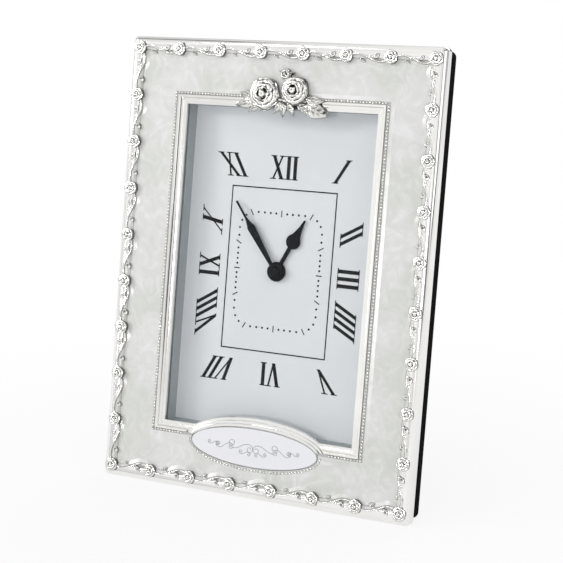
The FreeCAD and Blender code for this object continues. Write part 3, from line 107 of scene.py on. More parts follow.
def maths(operation, reflected=False):
    """A method of Value that adds one Math node."""
    def method(first, second=0.0):
        pair = (second, first) if reflected else (first, second)
        return first.nodes.add("Math", {"operation": operation}, {0: pair[0], 1: pair[1]})
    return method


class Value:
    """One socket: a number or colour that varies over a surface."""

    __add__, __radd__ = maths("ADD"), maths("ADD", reflected=True)
    __sub__, __rsub__ = maths("SUBTRACT"), maths("SUBTRACT", reflected=True)
    __mul__, __rmul__ = maths("MULTIPLY"), maths("MULTIPLY", reflected=True)
    __lt__, __gt__ = maths("LESS_THAN"), maths("GREATER_THAN")
    __abs__, sine = maths("ABSOLUTE"), maths("SINE")
    most, least = maths("MAXIMUM"), maths("MINIMUM")

    def __init__(self, nodes, socket):
        self.nodes = nodes
        self.socket = socket

    def output(self, name):
        return Value(self.nodes, self.socket.node.outputs[name])


class Nodes:
    """A tree of nodes that all come from one method."""

    family = "ShaderNode"

    def __init__(self, tree):
        self.tree = tree

    def feed(self, socket, value):
        if isinstance(value, Value):
            self.tree.links.new(value.socket, socket)
        else:
            socket.default_value = value

    def add(self, kind, settings=None, sockets=None, output=0):
        """Adds a node: its settings first, then the values or links of its sockets."""
        node = self.tree.nodes.new(self.family + kind)
        for name, setting in (settings or {}).items():
            if name == "stops":
                elements = node.color_ramp.elements
                while len(elements) < len(setting):
                    elements.new(0.5)
                for element, (position, colour) in zip(elements, setting):
                    element.position = position
                    element.color = (*colour, 1.0)
            else:
                setattr(node, name, setting)
        for name, value in (sockets or {}).items():
            self.feed(node.inputs[name], value)
        return Value(self, node.outputs[output]) if node.outputs else None

    def spread(self, value, start, end, low, high):
        """Goes evenly from low to high while the value goes from start to end."""
        return self.add("MapRange", {}, {0: value, 1: start, 2: end, 3: low, 4: high})

    def ramp(self, value, *stops):
        """Colours along a value: each stop is a position and a colour."""
        return self.add("ValToRGB", {"stops": stops}, {0: value})

    def blend(self, factor, first, second, kind="MIX"):
        """Mixes two colours: plain ones are given as three shares of light."""
        settings = {"data_type": "RGBA", "blend_type": kind}
        colours = [(*colour, 1.0) if isinstance(colour, tuple) else colour
                   for colour in (first, second)]
        return self.add("Mix", settings, {0: factor, 6: colours[0], 7: colours[1]}, output=2)


class Finish(Nodes):
    """The nodes of a material, with one principled shader at their end."""

    def __init__(self, name):
        self.material = bpy.data.materials.new(name)
        self.material.use_nodes = True
        super().__init__(self.material.node_tree)
        self.shader = self.tree.nodes["Principled BSDF"]
        self.place = None

    def face(self):
        """Object coordinates turned into the face's axes, in millimetres."""
        if not self.place:
            turn = {"Vector": self.add("TexCoord").output("Object"), "Location": WINDOW_MIDDLE,
                    "Rotation": (-LEAN, 0, 0), "Scale": (MM, MM, MM)}
            self.place = self.add("Mapping", {"vector_type": "TEXTURE"}, turn)
        return self.place

    def along(self, axis):
        """How far a place lies along one axis of the face."""
        return self.add("SeparateXYZ", {}, {0: self.face()}).output(axis)

    def noise(self, scale, detail=3.0, roughness=0.5, distortion=0.0, stretch=(1, 1, 1)):
        """Cloudy noise on the face: scale is in features to a millimetre."""
        place = self.face()
        if stretch != (1, 1, 1):
            place = self.add("Mapping", {}, {"Vector": place, "Scale": stretch})
        sockets = {"Vector": place, "Scale": scale, "Detail": detail, "Roughness": roughness,
                   "Distortion": distortion}
        return self.add("TexNoise", {}, sockets)

    def bump(self, height, depth):
        """A bump whose depth is in millimetres."""
        return self.add("Bump", {}, {"Height": height, "Distance": depth * MM, "Strength": 1.0})

    def surface(self, **sockets):
        """Sets the shader's sockets and gives the finished material."""
        for name, value in sockets.items():
            socket = self.shader.inputs[name.replace("_", " ")]
            if isinstance(value, tuple) and len(value) == 3 and socket.type == "RGBA":
                value = (*value, 1.0)
            self.feed(socket, value)
        return self.material


# %% [markdown]
# ## Silver
# The shell, the roses and the vine are plated and polished. The castings carry painted shade
# in their hollows and along their feet, each by an attribute of its own, and two noises break
# up the gloss, as fine handling marks do.

# %% Silver finishes
BLACK, WHITE = (0, 0, 0), (1, 1, 1)
BRIGHT_SILVER = (0.95, 0.945, 0.93)
WORN_SILVER = (0.86, 0.85, 0.83)
# The colour of the castings' painted shade, and where along their attribute it starts and is full
SILVER_IN_PAINTED_SHADE = (0.045, 0.043, 0.04)
PAINTED_SHADE_START, PAINTED_SHADE_END = 0.25, 0.95
SCUFF_SPREAD = 0.10


def plated(finish, worn=WORN_SILVER, bright=BRIGHT_SILVER):
    """Silver's colour, a little more worn in some places than in others."""
    return finish.blend(finish.noise(0.08, detail=4.0), worn, bright)


def scuffs(finish):
    """Fine handling marks, drawn out up the face."""
    return finish.noise(2.2, detail=5.0, stretch=(1.0, 1.0, 0.25))


def silver(name, roughness, *colours):
    """Plate with a worn and a bright colour, darkened by painted shade where a casting's
    attribute says.
    """
    finish = Finish(name)
    # Painted shade: each casting's attribute is high in its hollows and along its foot
    hollow = finish.add("Attribute", {"attribute_name": "hollow"}).output("Fac")
    shade = finish.ramp(hollow, (PAINTED_SHADE_START, BLACK), (PAINTED_SHADE_END, WHITE))
    colour = finish.blend(shade, plated(finish, *colours), SILVER_IN_PAINTED_SHADE)
    gloss = scuffs(finish) * SCUFF_SPREAD + (roughness - SCUFF_SPREAD / 2)
    return finish.surface(Base_Color=colour, Metallic=1.0, Roughness=gloss)


CAST_SILVER = silver("cast_silver", 0.13, (0.74, 0.735, 0.71), (0.86, 0.855, 0.83))
PLATE_SILVER = silver("plate_silver", 0.14)

# %% [markdown]
# ## The vine's line
# A vine waves between the roses, and it is also the edge of the enamel: silver outside,
# pearl inside. The same wave is needed twice, once for the vine's path and once as a mask in
# the shell's material, so its numbers are named here.

# %% The wave that the vine follows
ROSE_INSET, VINE_INSET = (4.4, 5.3), 0.6
ROSE_HALF = (FRAME_HALF.x - ROSE_INSET[0], FRAME_HALF.z - ROSE_INSET[1])
ROSES = (8, 10)
PITCH = [2 * half / (count - 1) for half, count in zip(ROSE_HALF, ROSES)]
VINE_HALF = [half - VINE_INSET for half in ROSE_HALF]
VINE_WAVE = 1.5
print("rose pitch in mm:", [round(pitch, 1) for pitch in PITCH])

# %% [markdown]
# ## Pearl enamel
# Pearl enamel is a cloudy glass: pale grey with lighter swirls and a breath of pink and green,
# and a glossy face. Noise with a strong distortion makes the swirls, and a bump lets the glaze
# climb where it meets the vine and, on the right, the beads.

# %% Enamel colour and the shell's material
# Past the bead line: how far the painted shade line reaches from the beads and from the vine
BEAD_LINE, BEAD_SHADE_REACH, VINE_SHADE_REACH = (52.75, 78.3), 0.68, 0.75
# The grey of that painted shade line and how strongly it is laid on
SEAT_SHADE_GREY, SEAT_SHADE_SHARE = (0.36, 0.355, 0.34), 0.75
PEARL = ((0.36, (0.585, 0.585, 0.555)), (0.50, (0.625, 0.625, 0.595)),
         (0.58, (0.66, 0.66, 0.64)), (0.66, (0.71, 0.71, 0.695)))
GREEN_TO_PINK, TINT_SHARE = ((0.42, (0.58, 0.60, 0.555)), (0.60, (0.74, 0.73, 0.76))), 0.38
POOL_START, POOL_END, POOL_DEPTH = 0.9, 2.6, 0.66
POOL_SHARE_AT_BEADS, BEAD_POOL_FROM, RIPPLE_SHARE = 0.62, -45.0, 0.12


def vine_lines(finish):
    """How far a place lies inside the vine, sideways and upward, and from the middle each way."""
    across, up = finish.along("X"), finish.along("Z")
    turns = [2 * math.pi / pitch for pitch in PITCH]
    side = (up * turns[1] + ROSE_HALF[1] * turns[1]).sine() * VINE_WAVE + VINE_HALF[0]
    top = (across * turns[0] + ROSE_HALF[0] * turns[0]).sine() * VINE_WAVE + VINE_HALF[1]
    return side - abs(across), top - abs(up), abs(across), abs(up)


def beyond_beads(across, up):
    """How far a place lies outside the line of the beads."""
    return (across - BEAD_LINE[0]).most(up - BEAD_LINE[1])


def pearl_colour(finish):
    """Cloudy pearl: the swirls of a stirred glaze, with a line of painted shade by the vine and
    the beads.
    """
    base = finish.ramp(finish.noise(0.085, detail=5.0, roughness=0.55, distortion=3.0), *PEARL)
    tint = finish.ramp(finish.noise(0.034, detail=2.0), *GREEN_TO_PINK)
    side, top, across, up = vine_lines(finish)
    # A line of painted shade along the foot of the beads and of the vine
    at_beads = abs(beyond_beads(across, up)) < BEAD_SHADE_REACH
    at_vine = abs(side.least(top)) < VINE_SHADE_REACH
    seat = at_beads.most(at_vine) * SEAT_SHADE_SHARE
    return finish.blend(seat, finish.blend(TINT_SHARE, base, tint), SEAT_SHADE_GREY)


def glaze_pool(finish):
    """The glaze climbs a little at the vine and the beads, which gives its long highlights."""
    side, top, across, up = vine_lines(finish)
    at_vine = finish.spread(side.least(top), POOL_START, POOL_END, 1.0, 0.0)
    at_beads = finish.spread(beyond_beads(across, up), POOL_START, POOL_END,
                             POOL_SHARE_AT_BEADS, 0.0)
    to_right = finish.spread(finish.along("X"), BEAD_POOL_FROM, 0.0, 0.0, 1.0)
    ripple = finish.noise(0.11, detail=2.0, distortion=1.0) * RIPPLE_SHARE
    patchy = finish.noise(0.05, detail=1.0) * 0.8 + 0.5
    return finish.bump((at_vine + at_beads * to_right) * patchy + ripple, POOL_DEPTH)


def pearl_enamel():
    """The glazed pearl of the field."""
    finish = Finish("pearl_enamel")
    return finish.surface(Base_Color=pearl_colour(finish), Roughness=0.23,
                          Normal=glaze_pool(finish))


def shell_material():
    """Silver outside the vine and on the moulding, enamel between."""
    finish = Finish("silver_and_enamel")
    side, top, across, up = vine_lines(finish)
    reach = [half + MOULDING_WIDTH for half in WINDOW_HALF]
    enamelled = (side > 0) * (top > 0) * (1 - (across < reach[0]) * (up < reach[1]))
    colour = finish.blend(enamelled, plated(finish), pearl_colour(finish))
    gloss = scuffs(finish) * 0.08 + 0.04 + enamelled * 0.08
    return finish.surface(Base_Color=colour, Metallic=1 - enamelled, Roughness=gloss)


# %% [markdown]
# ## The other finishes
# Card, board, steel and plastic each get their colour from a noise at the size of the real
# grain, and a shallow bump. Glass and velvet differ.

# %% The other finishes


def grained(name, dark, light, scale, depth, roughness, stretch=(1, 1, 1), **sockets):
    """A plain material that follows one grain: so many grains to a millimetre, so deep."""
    finish = Finish(name)
    grain = finish.noise(scale, detail=4.0, roughness=0.6, stretch=stretch)
    cloud = finish.noise(scale / 9, detail=2.0)
    colour = finish.blend(grain * 0.6 + cloud * 0.4, dark, light)
    return finish.surface(Base_Color=colour, Roughness=roughness + grain * 0.12,
                          Normal=finish.bump(grain, depth), **sockets)


def clear_glass():
    """Thin window glass: nearly all light goes through, and its gloss stays."""
    finish = Finish("window_glass")
    smear = finish.noise(0.05, detail=3.0)
    return finish.surface(Base_Color=(0.10, 0.12, 0.12), Roughness=smear * 0.05 + 0.01,
                          Alpha=smear * 0.03 + 0.03, Specular_IOR_Level=0.5)


def velvet():
    """Short black pile: dark from above and a little grey along its edges."""
    finish = Finish("black_velvet")
    pile = finish.noise(5.0, detail=3.0, roughness=0.7)
    brushed = finish.noise(0.06, detail=3.0, distortion=0.8)
    colour = finish.blend(brushed, (0.002, 0.002, 0.003), (0.008, 0.008, 0.010))
    return finish.surface(Base_Color=colour, Roughness=0.95, Normal=finish.bump(pile, 0.12),
                          Sheen_Weight=0.03, Sheen_Roughness=0.3, Specular_IOR_Level=0.04)


PRINT_INK = grained("print_ink", (0.004, 0.004, 0.005), (0.010, 0.010, 0.012), 6.0, 0.01, 0.5,
                    Specular_IOR_Level=0.12)
FINISHES = {"polished_silver": PLATE_SILVER, "pearl_enamel": pearl_enamel(),
            "window_glass": clear_glass(), "black_velvet": velvet()}
# The plain ones: dark and light colour, grains to a millimetre, their depth, roughness, the rest
PLAIN = {
    "dial_card": ((0.72, 0.745, 0.765), (0.76, 0.78, 0.80), 3.0, 0.01, 0.45, {}),
    "pale_card": ((0.36, 0.39, 0.40), (0.46, 0.49, 0.50), 2.0, 0.03, 0.7, {}),
    "black_metal": ((0.002, 0.002, 0.004), (0.006, 0.006, 0.009), 1.5, 0.01, 0.32,
                    {"Specular_IOR_Level": 0.07}),
    "board": ((0.30, 0.21, 0.13), (0.46, 0.34, 0.22), 1.2, 0.08, 0.8, {}),
    "hardboard": ((0.065, 0.040, 0.024), (0.125, 0.080, 0.050), 1.6, 0.05, 0.45, {}),
    "foam_tape": ((0.42, 0.42, 0.40), (0.60, 0.60, 0.58), 1.5, 0.2, 0.9, {}),
    "movement_plastic": ((0.018, 0.018, 0.020), (0.032, 0.032, 0.036), 3.5, 0.04, 0.42, {}),
    "battery_sleeve": ((0.135, 0.14, 0.16), (0.16, 0.165, 0.185), 0.3, 0.01, 0.2, {}),
    "circuit_board": ((0.03, 0.09, 0.04), (0.06, 0.14, 0.07), 1.0, 0.03, 0.35, {}),
    "white_plastic": ((0.74, 0.73, 0.69), (0.82, 0.81, 0.78), 0.8, 0.01, 0.35, {}),
    "bright_steel": ((0.50, 0.49, 0.47), (0.68, 0.67, 0.65), 3.0, 0.015, 0.25,
                     {"stretch": (0.15, 1.0, 1.0), "Metallic": 1.0}),
    "copper_wire": ((0.52, 0.22, 0.10), (0.74, 0.38, 0.20), 5.0, 0.05, 0.3,
                    {"stretch": (0.2, 0.2, 1.0), "Metallic": 1.0}),
    "brass": ((0.60, 0.44, 0.18), (0.76, 0.60, 0.30), 3.0, 0.01, 0.25, {"Metallic": 1.0}),
}
for slot, (*numbers, others) in PLAIN.items():
    FINISHES[slot] = grained(slot, *numbers, **others)

slot_of = {subpart["node"]: subpart["material_slot"] for subpart in frame["record"]["subparts"]}
bodies = frame["record"]["behaviour"]["bodies"]
body_of = {node: body for body, members in bodies.items() for node in members}
for name, piece in nodes.items():
    piece.data.materials.clear()
    piece.data.materials.append(FINISHES[slot_of[name]])
print(len(FINISHES), "finishes on", len(nodes), "pieces")

# %% [markdown]
# ## Smooth copies of the turned and stamped pieces
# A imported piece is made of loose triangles, so its round edges look faceted. A copy with its
# corners merged can be shaded smooth, with each sharp edge kept, and it then stands for the
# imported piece.

# %% Smooth copies
SHARP_EDGE = math.radians(28)


def add_object(name, data):
    """A new object in the scene."""
    added = bpy.data.objects.new(name, data)
    bpy.context.scene.collection.objects.link(added)
    return added


def mesh_of(work, name):
    """A mesh with what a bmesh holds, which is then let go."""
    mesh = bpy.data.meshes.new(name)
    work.to_mesh(mesh)
    work.free()
    return mesh


def settle(mesh, name, body, slot, material):
    """Makes a mesh that is already in its place a piece of the clock."""
    piece = add_object(name, mesh)
    mesh.materials.clear()
    mesh.materials.append(material)
    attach(piece, body)
    return piece


def trim(mesh, name, slot, material):
    """Makes a mesh drawn in the face's axes a piece on the clock's main body."""
    mesh.transform(FACE)
    print(f"{name}: {len(mesh.polygons)} faces")
    return settle(mesh, name, "frame", slot, material)


def smooth_copy(node, name, material):
    """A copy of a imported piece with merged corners, smooth but for its sharp edges."""
    work = bmesh.new()
    work.from_mesh(nodes[node].data)
    bmesh.ops.remove_doubles(work, verts=work.verts, dist=MM / 1000)
    for face in work.faces:
        face.smooth = True
    for edge in work.edges:
        edge.smooth = edge.calc_face_angle(math.pi) < SHARP_EDGE
    piece = settle(mesh_of(work, name), name, body_of[node], slot_of[node], material)
    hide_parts(node)
    return piece


SMOOTHED = {
    "front_frame": "silver_shell",
    "oval_plaque": "oval_plate",
    "velvet_cover": "velvet_wrap",
    "turn_button_1": "top_left_button",
    "turn_button_2": "top_right_button",
    "turn_button_3": "low_left_button",
    "turn_button_4": "low_right_button",
    "movement_cover": "movement_shell",
    "battery": "dry_cell",
    "setting_knob": "time_knob",
    "hand_nut": "hand_cap",
    "hour_hand": "hour_pointer",
    "minute_hand": "minute_pointer",
    "easel_strut": "velvet_strut",
    "strut_hinge_plate": "hinge_plate",
    "strut_hinge_flap": "hinge_flap",
    "strut_rivets": "strut_rivet_heads",
    "hinge_rivets": "hinge_rivet_heads",
}
SATIN_PLATE = grained("satin_plate", (0.69, 0.69, 0.715), (0.75, 0.75, 0.775), 4.0, 0.008, 0.42,
                      Metallic=0.15)
OWN_FINISH = {"front_frame": shell_material(), "oval_plaque": SATIN_PLATE}
smooth = {name: smooth_copy(node, name, OWN_FINISH.get(node, FINISHES[slot_of[node]]))
          for node, name in SMOOTHED.items()}
print(len(SMOOTHED), "pieces shaded smooth")

# %% The pile of the velvet stands out from the board's edge
PILE, PILE_EDGE, PILE_START = 0.8, 3.0, 1.0
WRAP_HALF = face_box("velvet_cover")[1]
for vertex in smooth["velvet_wrap"].data.vertices:
    place = FACE.inverted() @ vertex.co
    if place.y > PILE_START and abs(place.x) > WRAP_HALF.x - PILE_EDGE:
        place.x += math.copysign(PILE, place.x)
    if place.y > PILE_START and place.z > WRAP_HALF.z - PILE_EDGE:
        place.z += PILE
    vertex.co = FACE @ place

# %% [markdown]
# ## Cast forms from a round grid
# Roses, buds and leaves are reliefs: each has an outline and a height over it. One function
# lays a round grid over such an outline, lifts it by a formula, and closes it with a skirt and
# a flat back, so that every casting is a solid.

# %% A relief over a round grid


def relief(name, outline, height, hollow, rings, around, seat=0.0):
    """A closed casting that faces the viewer.

    Its height and its painted shade are formulas of the share out from the middle and the
    angle. Its outline needs only the angle.
    """
    work = bmesh.new()
    # Each corner carries its painted shade in an attribute that the silver finish reads
    darkness = work.verts.layers.float.new("hollow")
    angles = [2 * math.pi * step / around for step in range(around)]

    def corner(share, angle, depth=None):
        x, z = outline(angle)
        y = -height(share, angle) if depth is None else depth
        vertex = work.verts.new((x * share, y, z * share))
        vertex[darkness] = hollow(share, angle)
        return vertex

    loops = [[corner(ring / rings, angle) for angle in angles] for ring in range(rings, 0, -1)]
    base = [corner(1, angle, seat) for angle in angles]
    top, back = corner(0, 0), corner(0, 0, seat)
    for step in range(around):
        after = (step + 1) % around
        for outer, inner in zip([base] + loops, loops):
            work.faces.new((outer[step], outer[after], inner[after], inner[step]))
        work.faces.new((loops[-1][step], loops[-1][after], top))
        work.faces.new((base[after], base[step], back))
    bmesh.ops.recalc_face_normals(work, faces=work.faces)
    for face in work.faces:
        face.smooth = True
    return mesh_of(work, name)


def circle(radius):
    """The outline of a round casting."""
    return lambda angle: (radius * math.cos(angle), radius * math.sin(angle))


PETALS = 5


def rose_shape(name, radius, rise, bands, shade, **grid):
    """A rose: bands of petals wound round a sunken heart, each band stepping up from the last."""
    def outline(angle):
        reach = radius * (1 + 0.07 * abs(math.cos(PETALS / 2 * angle)))
        return reach * math.cos(angle), reach * math.sin(angle)

    def band(share, angle):
        """How far a place lies across its own petal, from its root at 0 to its lip at 1."""
        lobe = 0.26 * abs(math.cos(PETALS / 2 * angle + 1.9 * bands * share)) - 0.13
        return (bands * share + lobe + 0.12) % 1.0

    def heart(share, angle):
        """The broken ring of shade round the tight bud in the middle."""
        ring = math.exp(-((share - 0.29) / 0.085) ** 2)
        return ring * (0.62 + 0.38 * math.cos(3 * angle + 9 * share))

    def height(share, angle):
        root = (1 - band(share, angle)) ** 3
        return rise * (1 - 0.66 * share ** 2 - 0.34 * root - 0.30 * heart(share, angle))

    # Painted shade: dark at each petal's root, round the heart and along the foot on the shell
    def hollow(share, angle):
        root, foot = max(0.0, 1 - 3.0 * band(share, angle)), max(0.0, 12 * share - 11.2)
        return min(1.0, root * 1.1 + foot + shade * heart(share, angle))

    return relief(name, outline, height, hollow, **grid)


LEAF_MIDDLE = 0.42


def leaf_shape(name, length, width, rise, veins, **grid):
    """A pointed leaf with a midrib and slanted veins; it grows along x from its stem."""
    def outline(angle):
        along = (1 - math.cos(angle)) / 2
        spread = abs(2 * along ** 0.8 - 1) ** 1.7
        side = 1 if math.sin(angle) >= 0 else -1
        teeth = 1 + 0.07 * math.sin(veins * 4 * math.pi * along)
        return (along - LEAF_MIDDLE) * length, side * width / 2 * (1 - spread) * teeth

    def vein(share, angle):
        """How far a place lies off the nearest slanted vein, and off the midrib."""
        x, z = [value * share for value in outline(angle)]
        return abs(math.sin(math.pi * veins * (x - 0.8 * abs(z)) / length)), abs(z)

    def height(share, angle):
        slant, off_rib = vein(share, angle)
        ridge = 0.45 * math.exp(-(off_rib / (0.09 * width)) ** 2) * (1 - share)
        return rise * (0.65 - 0.55 * share ** 2 + ridge + 0.22 * slant ** 0.5 * (1 - share ** 4))

    # Painted shade: dark along the slanted veins, beside the midrib and along the leaf's foot
    def hollow(share, angle):
        slant, off_rib = vein(share, angle)
        beside_rib = math.exp(-((off_rib - 0.14 * width) / (0.07 * width)) ** 2)
        dark = min(1.0, 0.75 * max(0.0, 1 - 3.5 * slant) + 0.5 * beside_rib)
        return dark * (1 - share ** 3) + max(0.0, 8 * share - 7.2)

    return relief(name, outline, height, hollow, **grid)


# %% [markdown]
# ## Geometry Nodes that set castings in their places
# The roses of the border are one casting set down many times, and so are the leaves, the beads
# and the dots. A small tree takes points that carry a turn and a size, puts the shape on each
# one, makes the copies real and gives them their material.

# %% The scatter tree


class Tree(Nodes):
    """A geometry node tree that takes named inputs and gives one geometry."""

    family = ""

    def __init__(self, name, **inputs):
        super().__init__(bpy.data.node_groups.new(name, "GeometryNodeTree"))
        sockets = [(socket, "INPUT", kind) for socket, kind in inputs.items()]
        for socket, way, kind in sockets + [("Result", "OUTPUT", "Geometry")]:
            self.tree.interface.new_socket(socket, in_out=way, socket_type="NodeSocket" + kind)
        self.start = self.add("NodeGroupInput")

    def own(self, name, kind):
        """What each point carries under a name."""
        return self.add("GeometryNodeInputNamedAttribute", {"data_type": kind}, {"Name": name})

    def close(self, geometry):
        """Makes the geometry real, gives it its finish and ends the tree."""
        real = self.add("GeometryNodeRealizeInstances", {}, {"Geometry": geometry})
        sockets = {"Geometry": real, "Material": self.start.output("Finish")}
        dressed = self.add("GeometryNodeSetMaterial", {}, sockets)
        self.add("NodeGroupOutput", {}, {"Result": dressed})
        return self.tree


def scatter_tree():
    """Puts a shape on every point, turned and scaled by the point's own attributes."""
    tree = Tree("set_on_points", Points="Geometry", Shape="Object", Finish="Material")
    shape = tree.add("GeometryNodeObjectInfo", {}, {"Object": tree.start.output("Shape")},
                     output="Geometry")
    turn = tree.add("FunctionNodeEulerToRotation", {}, {0: tree.own("turn", "FLOAT_VECTOR")})
    sockets = {"Points": tree.start.output("Points"), "Instance": shape, "Rotation": turn,
               "Scale": tree.own("size", "FLOAT")}
    return tree.close(tree.add("GeometryNodeInstanceOnPoints", {}, sockets))


SCATTER = scatter_tree()


def baked(name, mesh, tree, inputs):
    """Runs a node tree on a mesh, with its named inputs set, and gives the plain mesh."""
    source = add_object(name + "_source", mesh)
    modifier = source.modifiers.new(tree.name, "NODES")
    modifier.node_group = tree
    for socket in tree.interface.items_tree:
        if socket.in_out == "INPUT" and socket.name in inputs:
            modifier[socket.identifier] = inputs[socket.name]
    graph = bpy.context.evaluated_depsgraph_get()
    result = bpy.data.meshes.new_from_object(source.evaluated_get(graph))
    bpy.data.objects.remove(source)
    return result


def scatter(name, shape, spots, material, slot="polished_silver"):
    """One piece made of a shape set on many spots, each a place, a turn about y and a size."""
    points = bpy.data.meshes.new(name + "_points")
    points.from_pydata([place for place, turn, size in spots], [], [])
    turns = [value for place, turn, size in spots for value in (0.0, turn, 0.0)]
    points.attributes.new("turn", "FLOAT_VECTOR", "POINT").data.foreach_set("vector", turns)
    sizes = [size for place, turn, size in spots]
    points.attributes.new("size", "FLOAT", "POINT").data.foreach_set("value", sizes)
    holder = add_object(name + "_shape", shape)
    mesh = baked(name, points, SCATTER, {"Shape": holder, "Finish": material})
    bpy.data.objects.remove(holder)
    return trim(mesh, name, slot, material)


# %% [markdown]
# ## The border of roses
# Thirty-two small roses ring the frame, astride the silver rim and the enamel. They all come
# from one casting, turned a little each time, so no two catch the light alike.

# %% Border roses
ROSE_RADIUS, ROSE_RISE = 3.05, 1.88
GOLDEN_TURN = math.radians(137.5)


def border_spots():
    """The places of the roses, round the frame."""
    across, up = [[half * (2 * step / (count - 1) - 1) for step in range(count)]
                  for half, count in zip(ROSE_HALF, ROSES)]
    return ([(x, z) for z in (ROSE_HALF[1], -ROSE_HALF[1]) for x in across]
            + [(x, z) for x in (ROSE_HALF[0], -ROSE_HALF[0]) for z in up[1:-1]])


small_rose = rose_shape("small_rose", ROSE_RADIUS, ROSE_RISE, bands=2.7, shade=0.9, rings=18,
                        around=50, seat=1.2)
spots = [((x, RIM_FRONT, z), index * GOLDEN_TURN, 1.0 - 0.04 * math.sin(index * 2.3) ** 2)
         for index, (x, z) in enumerate(border_spots())]
roses = scatter("border_rose_castings", small_rose, spots, CAST_SILVER)
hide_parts("border_roses")

# %% [markdown]
# ## The vine
# The vine is a thin raised cord of silver that waves from rose to rose, with a leaf on each
# swing and a small curl between. A second tree sweeps a round profile along its path. The path
# lies on the shell, so its depth follows the rim's round inner edge down to the enamel.

# %% The sweep tree and the vine


def sweep_tree():
    """Sweeps a round profile of a named radius along a path."""
    tree = Tree("sweep_round", Path="Geometry", Radius="Float", Sides="Int", Finish="Material")
    path, radius, sides = [tree.start.output(name) for name in ("Path", "Radius", "Sides")]
    curve = tree.add("GeometryNodeMeshToCurve", {}, {"Mesh": path})
    profile = tree.add("GeometryNodeCurvePrimitiveCircle", {},
                       {"Resolution": sides, "Radius": radius})
    sockets = {"Curve": curve, "Profile Curve": profile, "Fill Caps": True}
    return tree.close(tree.add("GeometryNodeCurveToMesh", {}, sockets))


SWEEP = sweep_tree()


def sweep(name, runs, radius, sides, material, closed=False):
    """One piece made of round strokes along runs of points."""
    points, edges = [], []
    for run in runs:
        first = len(points)
        points += run
        edges += [(first + step, first + step + 1) for step in range(len(run) - 1)]
        if closed:
            edges.append((len(points) - 1, first))
    path = bpy.data.meshes.new(name + "_path")
    path.from_pydata(points, edges, [])
    mesh = baked(name, path, SWEEP, {"Radius": radius, "Sides": sides, "Finish": material})
    for polygon in mesh.polygons:
        polygon.use_smooth = True
    return trim(mesh, name, "polished_silver", material)


RIM_INNER_ROUND = 2.0
VINE_RADIUS, VINE_SIDES, VINE_PROUD, LEAF_PROUD = 0.34, 8, 0.28, 0.1
VINE_STEPS = 14
# The frame's right, top, left and bottom side: the axis that each runs along, and its sign
SIDES = ((1, 1), (0, 1), (1, -1), (0, -1))
# The two leaves between one rose and the next: share of the way, lean and distance off the vine
VINE_LEAVES = ((0.33, 0.6, -2.1), (0.68, -0.6, 2.1))
TENDRIL_SHARE, TENDRIL_OFF, TENDRIL_REACH, TENDRIL_STEPS = 0.55, 0.7, 1.3, 22


def shell_depth(x, z):
    """The depth of the shell's face under a place near its rim."""
    inset = min(FRAME_HALF.x - abs(x), FRAME_HALF.z - abs(z))
    field = FRAME_HALF.x - ENAMEL_HALF.x
    beyond = inset - (field - RIM_INNER_ROUND)
    if beyond <= 0:
        return RIM_FRONT
    if beyond >= RIM_INNER_ROUND:
        return ENAMEL_FRONT
    drop = RIM_INNER_ROUND - math.sqrt(RIM_INNER_ROUND ** 2 - beyond ** 2)
    return min(RIM_FRONT + drop, ENAMEL_FRONT)


def by_vine(side, along, off=0.0, proud=LEAF_PROUD):
    """A place beside the vine, off millimetres away from the window, or on it at 0."""
    axis, sign = SIDES[side]
    swing = VINE_WAVE * math.sin(2 * math.pi * (along + ROSE_HALF[axis]) / PITCH[axis])
    reach = sign * (VINE_HALF[1 - axis] + swing + off)
    x, z = (reach, along) if axis == 1 else (along, reach)
    return x, shell_depth(x, z) - proud, z


def tendril(side, along):
    """A small curl that leaves the vine and winds in on itself."""
    run = []
    for step in range(TENDRIL_STEPS + 1):
        share = step / TENDRIL_STEPS
        reach, angle = 1 - 0.75 * share, 2.2 * math.pi * share
        run.append(by_vine(side, along + TENDRIL_REACH * reach * math.sin(angle),
                           TENDRIL_OFF * (1 - math.cos(angle) * reach)))
    return run


vine_runs = []
for side, (axis, sign) in enumerate(SIDES):
    steps = (ROSES[axis] - 1) * VINE_STEPS
    alongs = [ROSE_HALF[axis] * (2 * step / steps - 1) for step in range(steps + 1)]
    vine_runs.append([by_vine(side, along, proud=VINE_PROUD) for along in alongs])

vine_leaf = leaf_shape("vine_leaf", length=3.8, width=2.2, rise=1.0, veins=1, rings=7,
                       around=28, seat=0.7)
leaf_spots = []
for side, (axis, sign) in enumerate(SIDES):
    for gap in range(ROSES[axis] - 1):
        for share, lean, off in VINE_LEAVES:
            along = PITCH[axis] * (gap + share) - ROSE_HALF[axis]
            heading = sign * lean - axis * math.pi / 2
            size = 0.85 + 0.25 * math.sin(7.0 * gap + 20.0 * share + side) ** 2
            leaf_spots.append((by_vine(side, along, off), heading, size))
        along = PITCH[axis] * (gap + TENDRIL_SHARE) - ROSE_HALF[axis]
        vine_runs.append(tendril(side, along))
sweep("rose_vine", vine_runs, VINE_RADIUS, VINE_SIDES, CAST_SILVER)
scatter("vine_leaves", vine_leaf, leaf_spots, PLATE_SILVER)

# %% [markdown]
# ## Beads round the window
# A row of fine beads runs outside the reeded moulding and under the oval plate. Each bead has
# only forty faces, because there are hundreds of them.

# %% Beads
BEAD_RADIUS, BEAD_PITCH = 0.6, 1.5
PLAQUE_MIDDLE_Z = (PLAQUE_LOW.z + PLAQUE_HIGH.z) / 2
PLAQUE_HALF = ((PLAQUE_HIGH.x - PLAQUE_LOW.x) / 2, (PLAQUE_HIGH.z - PLAQUE_LOW.z) / 2)
ARCH_WIDTH, OVAL_GAP = 5.6, 1.3
OVAL_BEADS_UNDER, OVAL_STEPS = -79.0, 400


def bead_shape():
    """Half a bead, as round as it needs to be at its size."""
    def height(share, angle):
        return BEAD_RADIUS * math.sqrt(max(0.0, 1 - share ** 2))

    # Painted shade round the foot of the bead
    def hollow(share, angle):
        return max(0.0, 3.0 * share - 2.2)

    return relief("bead", circle(BEAD_RADIUS), height, hollow, rings=3, around=8, seat=0.25)


